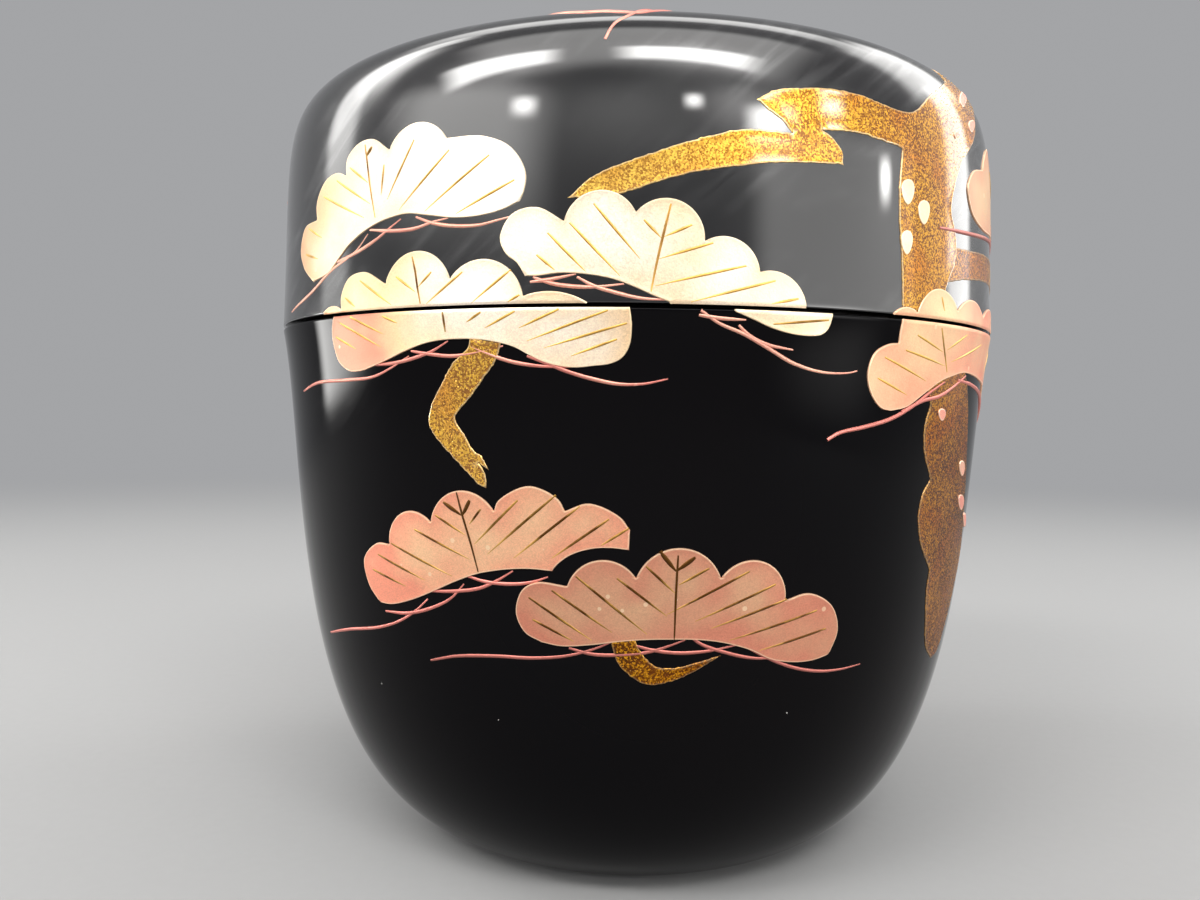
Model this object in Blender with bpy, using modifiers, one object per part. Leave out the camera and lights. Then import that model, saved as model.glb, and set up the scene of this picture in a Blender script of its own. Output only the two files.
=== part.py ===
"""Lacquered tea caddy: a turned body and a domed lid that meet flush over an inner collar."""

import math

import bpy
from mathutils import Vector
from mathutils.geometry import interpolate_bezier

MM = 0.001

# Outside form, from the foot to the crown
FOOT_RADIUS = 18.0 * MM
MOUTH_RADIUS = 33.0 * MM
BODY_HEIGHT = 45.0 * MM
SEAM_GAP = 0.3 * MM
LID_HEIGHT = 23.7 * MM

# The body's side: how far each end's handle reaches across and up, as a share of the side
FOOT_PULL = (0.985, 0.10)
MOUTH_PULL = (0.135, 0.245)

# The lid's side and shoulder, and its crown, which is part of a large sphere
CROWN_EDGE_RADIUS = 24.7 * MM
CROWN_CURVE_RADIUS = 130.0 * MM
LID_SIDE_PULL = (0.095, 0.857)
SHOULDER_PULL = 1.11

# Walls and the shallow recess turned under the foot
WALL = 2.6 * MM
RIM_WALL = 2.2 * MM
FLOOR_THICKNESS = 3.2 * MM
FOOT_RING_WIDTH = 3.5 * MM
FOOT_RECESS_DEPTH = 0.6 * MM
RIM_EDGE_ROUND = 0.4 * MM

# The collar stands in a rebate in the body's mouth and guides the lid
COLLAR_CLEARANCE = 0.3 * MM
COLLAR_WALL = 1.2 * MM
COLLAR_RISE = 9.0 * MM
COLLAR_SEAT_DEPTH = 6.0 * MM
COLLAR_HEADROOM = 0.6 * MM
COLLAR_EDGE_ROUND = 0.4 * MM

# Black lacquer: the outside is polished to a mirror, the collar is left plainer
MIRROR_BLACK = (0.006, 0.006, 0.008)
MIRROR_ROUGHNESS = 0.05
COLLAR_BLACK = (0.010, 0.008, 0.007)
COLLAR_ROUGHNESS = 0.12

# How finely the curves are turned
TURN_STEPS = 72
SIDE_STEPS = 14
CROWN_STEPS = 5
EDGE_STEPS = 3
ROUND_CORNER_PULL = 0.55
AXIS_MERGE = 0.01 * MM
SHARP_ANGLE = math.radians(32)

# What the pieces share
BORE_RADIUS = MOUTH_RADIUS - RIM_WALL
COLLAR_OUTER_RADIUS = BORE_RADIUS - COLLAR_CLEARANCE
COLLAR_INNER_RADIUS = COLLAR_OUTER_RADIUS - COLLAR_WALL
REBATE_HEIGHT = BODY_HEIGHT - COLLAR_SEAT_DEPTH
LID_RIM_HEIGHT = BODY_HEIGHT + SEAM_GAP
FLOOR_HEIGHT = FOOT_RECESS_DEPTH + FLOOR_THICKNESS


def clear_scene():
    for old in list(bpy.data.objects):
        bpy.data.objects.remove(old, do_unlink=True)


def lacquer(name, colour, roughness):
    """A glossy lacquer finish."""
    material = bpy.data.materials.new(name)
    material.use_nodes = True
    shader = material.node_tree.nodes["Principled BSDF"]
    shader.inputs["Base Color"].default_value = (*colour, 1.0)
    shader.inputs["Roughness"].default_value = roughness
    shader.inputs["Metallic"].default_value = 0.0
    shader.inputs["Coat Weight"].default_value = 1.0
    material.diffuse_color = (*colour, 1.0)
    material.roughness = roughness
    return material


def at(radius, height):
    """A point of a turned profile, drawn in the XZ plane."""
    return Vector((radius, 0.0, height))


def rounded_corner(before, corner, after, size):
    """A corner of a profile, replaced by a curve that starts and ends this far from it."""
    start = corner + (before - corner).normalized() * size
    end = corner + (after - corner).normalized() * size
    start_handle = start.lerp(corner, ROUND_CORNER_PULL)
    end_handle = end.lerp(corner, ROUND_CORNER_PULL)
    return interpolate_bezier(start, start_handle, end_handle, end, EDGE_STEPS)


def inset(outline, wall):
    """The inner side of a wall whose outer side runs down; points that would fold back are left out."""
    inner = []
    for before, point, after in zip(outline, outline[1:], outline[2:]):
        along = (after - before).normalized()
        moved = point + wall * Vector((along.z, 0.0, -along.x))
        if not inner or (moved - inner[-1]).dot(along) > 0.0:
            inner.append(moved)
    return inner


def turned(name, profile, material, collection, height=0.0, closed=False):
    """A piece turned about Z from a profile whose outer side runs from top to bottom."""
    count = len(profile)
    edges = [(i, i + 1) for i in range(count - 1)]
    if closed:
        edges.append((count - 1, 0))
    outline = bpy.data.meshes.new(name + "_profile")
    outline.from_pydata(profile, edges, [])
    piece = bpy.data.objects.new(name, outline)
    collection.objects.link(piece)
    screw = piece.modifiers.new("Turn", "SCREW")
    screw.axis = "Z"
    screw.angle = math.tau
    screw.steps = TURN_STEPS
    screw.render_steps = TURN_STEPS
    screw.use_merge_vertices = True
    screw.merge_threshold = AXIS_MERGE
    bpy.context.view_layer.update()
    evaluated = piece.evaluated_get(bpy.context.evaluated_depsgraph_get())
    solid = bpy.data.meshes.new_from_object(evaluated)
    solid.name = name
    piece.modifiers.clear()
    piece.data = solid
    bpy.data.meshes.remove(outline)
    solid.shade_smooth()
    solid.set_sharp_from_angle(angle=SHARP_ANGLE)
    solid.materials.append(material)
    piece.location.z = height
    return piece


def body_side():
    """The body's outer side, from the mouth down to the foot."""
    across = MOUTH_RADIUS - FOOT_RADIUS
    mouth = at(MOUTH_RADIUS, BODY_HEIGHT)
    foot = at(FOOT_RADIUS, 0.0)
    mouth_handle = mouth - at(MOUTH_PULL[0] * across, MOUTH_PULL[1] * BODY_HEIGHT)
    foot_handle = foot + at(FOOT_PULL[0] * across, FOOT_PULL[1] * BODY_HEIGHT)
    return interpolate_bezier(mouth, mouth_handle, foot_handle, foot, SIDE_STEPS)


def body_profile():
    """From the middle of the floor up the inside, over the rim and down to the recess underneath."""
    side = body_side()
    hollow = [
        at(min(point.x, COLLAR_INNER_RADIUS), max(point.z, FLOOR_HEIGHT))
        for point in reversed(inset(side, WALL))
        if point.z < REBATE_HEIGHT
    ]
    rim_inner = at(BORE_RADIUS, BODY_HEIGHT)
    rim_edge = rounded_corner(rim_inner, side[0], side[1], RIM_EDGE_ROUND)
    ring_inner = FOOT_RADIUS - FOOT_RING_WIDTH
    return [
        at(0.0, FLOOR_HEIGHT),
        *hollow,
        at(COLLAR_INNER_RADIUS, REBATE_HEIGHT),
        at(BORE_RADIUS, REBATE_HEIGHT),
        rim_inner,
        *rim_edge,
        *side[1:],
        at(ring_inner, 0.0),
        at(ring_inner - FOOT_RECESS_DEPTH, FOOT_RECESS_DEPTH),
        at(0.0, FOOT_RECESS_DEPTH),
    ]


def lid_outside():
    """The lid's outer side from the top of the crown down to the rim, whose height is zero."""
    edge_slope = math.asin(CROWN_EDGE_RADIUS / CROWN_CURVE_RADIUS)
    centre_height = LID_HEIGHT - CROWN_CURVE_RADIUS
    slopes = [edge_slope * step / CROWN_STEPS for step in range(CROWN_STEPS)]
    crown = [
        at(CROWN_CURVE_RADIUS * math.sin(slope), centre_height + CROWN_CURVE_RADIUS * math.cos(slope))
        for slope in slopes
    ]
    crown_edge = at(CROWN_EDGE_RADIUS, centre_height + CROWN_CURVE_RADIUS * math.cos(edge_slope))
    rim = at(MOUTH_RADIUS, 0.0)
    across = MOUTH_RADIUS - CROWN_EDGE_RADIUS
    shoulder = at(math.cos(edge_slope), -math.sin(edge_slope)) * SHOULDER_PULL * across
    rim_handle = rim + at(-LID_SIDE_PULL[0] * across, LID_SIDE_PULL[1] * crown_edge.z)
    side = interpolate_bezier(crown_edge, crown_edge + shoulder, rim_handle, rim, SIDE_STEPS)
    return crown + side


def lid_profile():
    """From the top of the crown down the outside, across the rim and up the inside."""
    outside = lid_outside()
    collar_top = COLLAR_RISE - SEAM_GAP + COLLAR_HEADROOM
    hollow = [
        point
        for point in reversed(inset(outside, WALL))
        if point.z > collar_top and point.x < BORE_RADIUS
    ]
    rim_inner = at(BORE_RADIUS, 0.0)
    rim_edge = rounded_corner(outside[-2], outside[-1], rim_inner, RIM_EDGE_ROUND)
    return [
        *outside[:-1],
        *rim_edge,
        rim_inner,
        at(BORE_RADIUS, collar_top),
        *hollow,
        at(0.0, LID_HEIGHT - WALL),
    ]


def collar_profile():
    """The collar's section, from its top inner edge round the outside."""
    foot = REBATE_HEIGHT + COLLAR_CLEARANCE
    top = BODY_HEIGHT + COLLAR_RISE
    top_inner = at(COLLAR_INNER_RADIUS, top)
    top_outer = at(COLLAR_OUTER_RADIUS, top)
    foot_outer = at(COLLAR_OUTER_RADIUS, foot)
    foot_inner = at(COLLAR_INNER_RADIUS, foot)
    return [
        *rounded_corner(foot_inner, top_inner, top_outer, COLLAR_EDGE_ROUND),
        *rounded_corner(top_inner, top_outer, foot_outer, COLLAR_EDGE_ROUND),
        foot_outer,
        foot_inner,
    ]


def main():
    clear_scene()
    caddy = bpy.data.collections.new("tea_caddy")
    bpy.context.scene.collection.children.link(caddy)
    body_lacquer = lacquer("body_lacquer", MIRROR_BLACK, MIRROR_ROUGHNESS)
    lid_lacquer = lacquer("lid_lacquer", MIRROR_BLACK, MIRROR_ROUGHNESS)
    collar_lacquer = lacquer("collar_lacquer", COLLAR_BLACK, COLLAR_ROUGHNESS)
    body = turned("body", body_profile(), body_lacquer, caddy)
    collar = turned("mouth_collar", collar_profile(), collar_lacquer, caddy, closed=True)
    lid = turned("lid", lid_profile(), lid_lacquer, caddy, height=LID_RIM_HEIGHT)
    collar.parent = body
    lid.parent = body


if __name__ == "__main__":
    main()
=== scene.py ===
"""Looks of the lacquer tea caddy.

Turned lacquer shells stand for the solids, and a raised picture of an old pine lies on them: lobed needle
clusters in fine salmon and gold powder, veins, curling twigs, and a trunk and branches in coarse gold
flakes. What the photograph shows is drawn by its pixels (a frame of 1200 x 900) and laid on the caddy
through the fitted camera. What it doesn't show is drawn on the unrolled side or on the crown, in the same
manner. Lengths are in millimetres until a mesh is made.
"""

from __future__ import annotations

import logging
import math
import random
import sys
from dataclasses import dataclass, field
from enum import Enum
from functools import cache
from typing import NamedTuple

import bmesh
import bpy
import numpy as np
from mathutils import Matrix, Vector
from mathutils.geometry import delaunay_2d_cdt


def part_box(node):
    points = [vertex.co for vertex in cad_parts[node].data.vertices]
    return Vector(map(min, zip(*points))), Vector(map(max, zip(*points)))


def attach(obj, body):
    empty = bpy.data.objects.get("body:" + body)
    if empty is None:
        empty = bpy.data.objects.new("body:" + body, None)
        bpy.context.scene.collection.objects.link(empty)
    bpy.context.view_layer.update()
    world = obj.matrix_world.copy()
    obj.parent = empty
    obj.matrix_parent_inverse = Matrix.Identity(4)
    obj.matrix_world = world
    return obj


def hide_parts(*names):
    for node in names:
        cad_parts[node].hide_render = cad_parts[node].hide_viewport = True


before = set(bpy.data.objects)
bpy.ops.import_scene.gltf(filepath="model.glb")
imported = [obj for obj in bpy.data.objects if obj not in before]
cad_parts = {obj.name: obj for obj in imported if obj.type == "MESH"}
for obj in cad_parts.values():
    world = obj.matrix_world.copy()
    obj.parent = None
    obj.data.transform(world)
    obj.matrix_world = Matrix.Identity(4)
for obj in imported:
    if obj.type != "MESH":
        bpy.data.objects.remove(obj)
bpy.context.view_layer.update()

LOG = logging.getLogger("tea_caddy")
MM = 0.001


class Half(Enum):
    """The two bodies of the caddy that the lift joint parts."""

    LID = "lid"
    BODY = "body"

    @property
    def way(self) -> float:
        """The side of the seam that it lies on: 1 above and -1 below."""
        return 1.0 if self is Half.LID else -1.0


class Drawn(Enum):
    """What the points of an ornament are given in."""

    PHOTO = "pixels of the photograph"
    UNROLLED = "millimetres round and up the unrolled side, from the seam"
    CROWN = "millimetres across the crown, seen from above"


class Hidden(NamedTuple):
    """A point that the photograph doesn't show, on an ornament that it shows in part."""

    azimuth: float
    height: float


Point = tuple[float, float]
Stroke = tuple[Point, ...]
Stops = tuple[float, ...]
Colour = tuple[float, float, float]
Socket = bpy.types.NodeSocket
FLOAT, COLOUR, VECTOR = "NodeSocketFloat", "NodeSocketColor", "NodeSocketVector"
GEOMETRY, MATERIAL = "NodeSocketGeometry", "NodeSocketMaterial"
SOCKET_OF = {float: FLOAT, int: "NodeSocketInt", "VALUE": FLOAT, "RGBA": COLOUR, "VECTOR": VECTOR}


class TreeBuilder:
    """Adds nodes to one node tree and links them."""

    def __init__(self, tree: bpy.types.NodeTree) -> None:
        """Keeps the tree that gets the nodes."""
        self.tree = tree

    def feed(self, node: bpy.types.Node, inputs: dict) -> None:
        """Fills a node's inputs.

        Args:
            node: The node.
            inputs: Socket name or number to a value, or to the output socket that feeds it.
        """
        for key, value in inputs.items():
            socket = node.inputs[key]
            if isinstance(value, Socket):
                self.tree.links.new(value, socket)
            else:
                socket.default_value = (*value, 1.0) if socket.type == "RGBA" else value

    def add(self, kind: str, inputs: dict | None = None, **settings: object) -> bpy.types.Node:
        """Adds one node.

        Args:
            kind: The node's type name.
            inputs: What fills its inputs.
            settings: The node's own properties.

        Returns:
            The new node.
        """
        node = self.tree.nodes.new(kind)
        for name, value in settings.items():
            setattr(node, name, value)
        self.feed(node, inputs or {})
        return node

    def get(self, kind: str, inputs: dict | None = None, **settings: object) -> Socket:
        """The first output of a new node."""
        return self.add(kind, inputs, **settings).outputs[0]

    def math(self, operation: str, *values: object) -> Socket:
        """The result of a Math node on one to three numbers or sockets."""
        return self.get("ShaderNodeMath", dict(enumerate(values)), operation=operation)

    def blend(self, factor: object, first: object, second: object) -> Socket:
        """A mix of two colours, the first at factor 0 and the second at 1."""
        return self.add("ShaderNodeMix", {0: factor, 6: first, 7: second}, data_type="RGBA").outputs[2]

    def spread(self, value: object, low: float, high: float, to_low: float, to_high: float) -> Socket:
        """A value carried from the range low to high to another range, and held inside it."""
        return self.get("ShaderNodeMapRange", {0: value, 1: low, 2: high, 3: to_low, 4: to_high})

    def place(self) -> Socket:
        """The place on the piece, in Object coordinates."""
        return self.add("ShaderNodeTexCoord").outputs["Object"]

    def stored(self, name: str) -> Socket:
        """The number that the mesh stores under this name."""
        return self.add("ShaderNodeAttribute", attribute_name=name).outputs["Fac"]

    def noise(self, place: Socket, scale: float, detail: float, **more: float) -> Socket:
        """A soft noise from 0 to 1."""
        return self.get("ShaderNodeTexNoise", {"Vector": place, "Scale": scale, "Detail": detail, **more})

    def cells(self, place: Socket, scale: object) -> tuple[Socket, Socket, Socket]:
        """How far it is to the middle of a random cell, and two random numbers of that cell."""
        cell = self.add("ShaderNodeTexVoronoi", {"Vector": place, "Scale": scale}).outputs
        return cell["Distance"], *self.add("ShaderNodeSeparateColor", {0: cell["Color"]}).outputs[:2]

    def bump(self, strength: float, distance: float, height: Socket) -> Socket:
        """The normal of a surface with this height on it."""
        return self.get("ShaderNodeBump", {"Strength": strength, "Distance": distance, "Height": height})

    def brighter(self, colour: Socket, value: Socket) -> Socket:
        """A colour times a value."""
        return self.get("ShaderNodeHueSaturation", {"Value": value, "Color": colour})

    def last(self, kind: str) -> bpy.types.Node:
        """The tree's node of this kind that it came with."""
        return next(node for node in self.tree.nodes if node.type == kind)

    def end(self, results: dict[str, Socket]) -> bpy.types.NodeTree:
        """Ends a group.

        Args:
            results: What its outputs give, by name.

        Returns:
            The group.
        """
        for name, result in results.items():
            kind = SOCKET_OF.get(result.type, GEOMETRY)
            self.tree.interface.new_socket(name, in_out="OUTPUT", socket_type=kind)
        self.add("NodeGroupOutput", results)
        return self.tree


def new_group(name: str, kind: str, takes: dict) -> tuple[TreeBuilder, dict[str, Socket]]:
    """Starts a node group with named inputs.

    Args:
        name: The group's name.
        kind: ShaderNodeTree or GeometryNodeTree.
        takes: Each input's default value, or its socket type.

    Returns:
        A builder for the new group, and what it is given.
    """
    tree = bpy.data.node_groups.new(name, kind)
    for label, value in takes.items():
        socket_type = SOCKET_OF.get(type(value), value)
        socket = tree.interface.new_socket(label, in_out="INPUT", socket_type=socket_type)
        if socket_type is not value:
            socket.default_value = value
    b = TreeBuilder(tree)
    return b, b.add("NodeGroupInput").outputs


@cache
def polish_marks() -> bpy.types.NodeTree:
    """Builds the marks on polished lacquer: smudges, hairlines, specks of dust, and the haze of handling.

    Returns:
        The group.
    """
    takes = {"Colour": COLOUR, "Warmer": COLOUR, "Dusty": COLOUR}
    takes |= dict.fromkeys(("Gloss", "Smudges", "Hairlines", "Dust", "Veil"), FLOAT)
    b, given = new_group("polish_marks", "ShaderNodeTree", takes)
    place = b.place()
    wiped = b.get("ShaderNodeMapping", {"Vector": place, "Rotation": (0.5, 0.7, 0.2), "Scale": (1, 1, 3)})
    cloud = b.noise(wiped, 55.0, 4.0)
    smudge = b.spread(cloud, 0.48, 0.75, 0.0, 1.0)
    long_way = {"Vector": place, "Rotation": (0.25, 0.8, 0.0), "Scale": (0.11, 1, 1)}
    brushed = b.get("ShaderNodeMapping", long_way, vector_type="TEXTURE")
    streak = b.spread(b.noise(brushed, 85.0, 5.0, Distortion=0.8), 0.46, 0.74, 0.0, 1.0)
    line = b.math("MULTIPLY", streak, b.spread(cloud, 0.44, 0.64, 0.0, 1.0))
    distance, chosen, _ = b.cells(place, 330.0)
    near = b.math("LESS_THAN", distance, b.math("MULTIPLY", chosen, 0.028))
    speck = b.math("MULTIPLY", b.math("MULTIPLY", near, b.math("GREATER_THAN", chosen, 0.55)), given["Dust"])
    black = b.blend(b.noise(place, 45.0, 2.0), given["Colour"], given["Warmer"])
    rough = b.math("MULTIPLY_ADD", smudge, given["Smudges"], given["Gloss"])
    rough = b.math("MULTIPLY_ADD", line, given["Hairlines"], rough)
    height = b.math("MULTIPLY_ADD", speck, 1.5, b.noise(place, 260.0, 1.0))
    film = b.math("MULTIPLY_ADD", smudge, 0.3, b.math("MULTIPLY_ADD", line, 1.1, 0.45))
    return b.end({
        "Base Color": b.blend(speck, black, given["Dusty"]),
        "Roughness": b.math("MAXIMUM", rough, b.math("MULTIPLY", speck, 0.7)),
        "Coat Weight": b.math("MULTIPLY", film, given["Veil"]),
        "Normal": b.bump(0.05, 0.00002, height),
    })


@cache
def fine_powder() -> bpy.types.NodeTree:
    """Builds fine metal powder: three tints that mottle into each other, grains, and a brighter drawn rim.

    Returns:
        The group.
    """
    takes = dict.fromkeys(("Salmon", "Gold", "Pale", "Rim"), COLOUR) | {"Grain": FLOAT}
    b, given = new_group("fine_powder", "ShaderNodeTree", takes)
    place, rim = b.place(), b.stored("rim")
    toned = b.math("MULTIPLY_ADD", b.stored("inner"), 0.35, b.stored("tint"))
    amount = b.math("ADD", toned, b.spread(b.noise(place, 190.0, 4.0, Roughness=0.5), 0.3, 0.7, -0.35, 0.35))
    golden = b.blend(b.spread(amount, 0.0, 1.0, 0.0, 1.0), given["Salmon"], given["Gold"])
    base = b.blend(b.spread(amount, 1.0, 2.0, 0.0, 1.0), golden, given["Pale"])
    _, shade, _ = b.cells(place, 14000.0)
    light = b.math("MULTIPLY_ADD", b.spread(shade, 0.0, 1.0, -1.0, 1.0), given["Grain"], 1.0)
    # The stored value multiplied in here is painted light and shade: it brightens the powder where light
    # falls on a plate and darkens it where the light turns away
    grained = b.brighter(base, b.math("MULTIPLY", light, b.stored("painted_light")))
    distance, _, picked = b.cells(place, 900.0)
    spot = b.math("MULTIPLY", b.math("LESS_THAN", distance, 0.16), b.math("GREATER_THAN", picked, 0.86))
    spotted = b.blend(b.math("MULTIPLY", spot, 0.45), grained, given["Rim"])
    return b.end({
        "Base Color": b.blend(b.math("MULTIPLY", rim, 0.6), spotted, given["Rim"]),
        "Roughness": b.spread(shade, 0.0, 1.0, 0.38, 0.52),
        "Metallic": b.spread(rim, 0.0, 1.0, 0.8, 0.55),
        "Normal": b.bump(0.35, 0.00003, b.noise(place, 6000.0, 2.0)),
    })


@cache
def coarse_flakes() -> bpy.types.NodeTree:
    """Builds coarse gold flakes set in amber lacquer.

    Returns:
        The group.
    """
    takes = dict.fromkeys(("Dark", "Ground", "Flake", "Red", "Edge"), COLOUR)
    takes |= dict.fromkeys(("Cover", "Size", "Coat"), FLOAT)
    b, given = new_group("coarse_flakes", "ShaderNodeTree", takes)
    place = b.place()
    covered, edge, painted_light = b.stored("tint"), b.stored("rim"), b.stored("painted_light")
    _, drawn, tone = b.cells(place, given["Size"])
    uneven = b.math("MULTIPLY_ADD", edge, 0.3, b.spread(b.noise(place, 170.0, 1.0), 0.3, 0.7, -0.35, 0.2))
    thin = b.math("MULTIPLY_ADD", given["Cover"], covered, uneven)
    flake = b.math("LESS_THAN", drawn, thin)
    shade = b.spread(tone, 0.12, 0.8, 0.0, 1.0)
    amber = b.blend(b.spread(thin, 0.15, 0.6, 0.0, 1.0), given["Dark"], given["Ground"])
    redder = b.blend(b.spread(b.noise(place, 330.0, 2.0), 0.46, 0.66, 0.0, 0.5), given["Flake"], given["Red"])
    lit = b.blend(flake, amber, b.blend(shade, given["Ground"], redder))
    # Painted light and shade: the stored value deepens and darkens the colour where the light turns away and
    # brightens it where light falls, here and in the Base Color below
    painted_light_toned = b.get("ShaderNodeGamma", {"Color": lit, "Gamma": b.math("MULTIPLY_ADD", painted_light, -2.4, 3.4)})
    # Painted highlight: the edge colour is blended in along the raised edge, where it catches the light
    edge_painted_highlight = b.blend(b.math("MULTIPLY", b.math("MULTIPLY", edge, covered), 0.55), painted_light_toned, given["Edge"])
    return b.end({
        "Base Color": b.brighter(edge_painted_highlight, painted_light),
        "Roughness": b.spread(flake, 0.0, 1.0, 0.48, 0.38),
        "Metallic": b.spread(flake, 0.0, 1.0, 0.75, 0.92),
        "Coat Weight": b.math("MULTIPLY", b.spread(covered, 0.8, 1.0, 0.0, 1.0), given["Coat"]),
        "Normal": b.bump(0.6, 0.00006, b.math("MULTIPLY", flake, shade)),
    })


def principled(name: str) -> tuple[bpy.types.Material, TreeBuilder, bpy.types.Node]:
    """Starts a material.

    Args:
        name: The material's name.

    Returns:
        The material, a builder for its tree, and its Principled BSDF.
    """
    material = bpy.data.materials.new(name)
    material.use_nodes = True
    return material, TreeBuilder(material.node_tree), material.node_tree.nodes["Principled BSDF"]


@dataclass(frozen=True)
class Finish:
    """A finish, whose fields fill the inputs of its effect that have their names."""

    name: str

    def dress(self, b: TreeBuilder) -> dict:
        """What fills the shader's inputs."""
        raise NotImplementedError

    def material(self) -> bpy.types.Material:
        """Builds the finish.

        Returns:
            The material.
        """
        material, b, shader = principled(self.name)
        b.feed(shader, self.dress(b))
        return material

    def placed(self, b: TreeBuilder, effect: bpy.types.NodeTree) -> dict[str, Socket]:
        """Places an effect with this finish's values.

        Args:
            b: The builder of the material's tree.
            effect: The shared shader group.

        Returns:
            The group's outputs, named as the shader's inputs that they feed.
        """
        group = b.add("ShaderNodeGroup", node_tree=effect)
        b.feed(group, {name: getattr(self, name.lower()) for name in group.inputs.keys()})
        return dict(group.outputs.items())


@dataclass(frozen=True)
class BlackLacquer(Finish):
    """Black lacquer over turned wood, polished to a mirror or left plainer; its copies differ in IOR as
    painted shade and light on their reflections.
    """

    colour: Colour = (0.0014, 0.0015, 0.0021)
    gloss: float = 0.045
    smudges: float = 0.05
    hairlines: float = 0.05
    dust: float = 1.0
    ior: float = 1.18
    veil: float = 0.0
    dusty: Colour = (0.45, 0.44, 0.42)

    @property
    def warmer(self) -> Colour:
        """The black where the wood warms it."""
        return (self.colour[0] * 1.7, self.colour[1] * 1.2, self.colour[2])

    def dress(self, b: TreeBuilder) -> dict:
        """The black with the marks of use; the coat is their haze."""
        return self.placed(b, polish_marks()) | {"Coat Roughness": 0.27, "Coat IOR": 1.5, "IOR": self.ior}


@dataclass(frozen=True)
class FinePowder(Finish):
    """Fine salmon and gold powder, as on the needle clusters, the twigs and the drops."""

    salmon: Colour
    gold: Colour
    pale: Colour
    rim: Colour
    grain: float = 0.10

    def dress(self, b: TreeBuilder) -> dict:
        """The powder."""
        return self.placed(b, fine_powder())


@dataclass(frozen=True)
class CoarseFlakes(Finish):
    """Coarse gold flakes in amber lacquer, as on the trunk and the branches."""

    ground: Colour
    flake: Colour
    # The colour of a painted highlight along the raised edge
    edge: Colour
    dark: Colour = (0.006, 0.003, 0.001)
    red: Colour = (0.86, 0.36, 0.055)
    cover: float = 0.98
    size: float = 9000.0
    coat: float = 1.0

    def dress(self, b: TreeBuilder) -> dict:
        """The flakes under their varnish."""
        return self.placed(b, coarse_flakes()) | {"Coat Roughness": 0.07}


@dataclass(frozen=True)
class LooseFlake(Finish):
    """The single flakes that are sprinkled over the coarse gold, each with its own shade."""

    dull: Colour
    bright: Colour

    def dress(self, b: TreeBuilder) -> dict:
        """The flake in its shade.

        Args:
            b: The builder of the material's tree.

        Returns:
            What fills the shader's inputs.
        """
        shade = b.stored("shade")
        colour, rough = b.blend(shade, self.dull, self.bright), b.spread(shade, 0.0, 1.0, 0.45, 0.25)
        return {"Base Color": colour, "Roughness": rough, "Metallic": 0.9}


@dataclass(frozen=True)
class VeinLacquer(Finish):
    """The thin brown lines drawn on the clusters, darker where the brush was fuller."""

    dark: Colour
    light: Colour

    def dress(self, b: TreeBuilder) -> dict:
        """The line, paler where it is thin or worn.

        Args:
            b: The builder of the material's tree.

        Returns:
            What fills the shader's inputs.
        """
        worn = b.noise(b.place(), 700.0, 4.0)
        drawn = b.math("ADD", b.stored("thin"), b.stored("tint"))
        paler = b.spread(b.math("ADD", drawn, b.spread(worn, 0.3, 0.7, -0.3, 0.3)), 0.0, 1.0, 0.0, 1.0)
        rough = b.spread(worn, 0.3, 0.7, 0.30, 0.48)
        return {"Base Color": b.blend(paler, self.dark, self.light), "Roughness": rough, "Metallic": 0.85}


FINISHES = (
    # One lacquer in lit and shaded copies: the body's low IOR makes it reflect less than the lid, a painted
    # shade on the body's reflections
    BlackLacquer("body_lacquer", smudges=0.03, ior=1.15),
    BlackLacquer("lid_lacquer", smudges=0.04, hairlines=0.02, dust=0.8, ior=1.6, veil=0.85),
    BlackLacquer("collar_lacquer", (0.006, 0.005, 0.0045), 0.10, 0.08, 0.08, 0.6),
    FinePowder("needle_powder", (0.82, 0.31, 0.2), (0.88, 0.61, 0.35), (0.96, 0.84, 0.7), (0.95, 0.78, 0.52)),
    FinePowder("twig_powder", (0.66, 0.22, 0.18), (0.95, 0.53, 0.38), (0.97, 0.78, 0.6), (0.88, 0.46, 0.34)),
    FinePowder("drop_powder", (0.84, 0.32, 0.24), (0.95, 0.78, 0.52), (0.97, 0.86, 0.66), (0.95, 0.8, 0.58)),
    # The last colour of coarse_gold is the painted highlight on its raised edge
    CoarseFlakes("coarse_gold", (0.40, 0.185, 0.022), (0.99, 0.64, 0.11), (0.97, 0.78, 0.45)),
    LooseFlake("loose_gold", (0.42, 0.19, 0.02), (0.98, 0.66, 0.16)),
    VeinLacquer("vein_lacquer", (0.085, 0.033, 0.004), (0.72, 0.42, 0.10)),
)


def bezier(start: Point, pull_start: Point, pull_end: Point, end: Point, steps: int) -> np.ndarray:
    """Points of a cubic curve.

    Args:
        start: Where it starts.
        pull_start: The handle at the start.
        pull_end: The handle at the end.
        end: Where it ends.
        steps: How many spans it has.

    Returns:
        An array of steps + 1 points.
    """
    t = np.linspace(0.0, 1.0, steps + 1)[:, None]
    p0, p1, p2, p3 = (np.array(point, float) for point in (start, pull_start, pull_end, end))
    return (1 - t) ** 3 * p0 + 3 * (1 - t) ** 2 * t * p1 + 3 * (1 - t) * t**2 * p2 + t**3 * p3


def round_corner(before: Point, corner: Point, after: Point, size: float, steps: int = 5) -> np.ndarray:
    """A corner as a small curve.

    Args:
        before: A point before the corner.
        corner: The corner.
        after: A point after it.
        size: How far from the corner the curve starts and ends.
        steps: How many spans it has.

    Returns:
        The curve's points.
    """
    before, corner, after = (np.array(point, float) for point in (before, corner, after))
    start = corner + (before - corner) / np.linalg.norm(before - corner) * size
    end = corner + (after - corner) / np.linalg.norm(after - corner) * size
    return bezier(start, start + (corner - start) * 0.55, end + (corner - end) * 0.55, end, steps)


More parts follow.
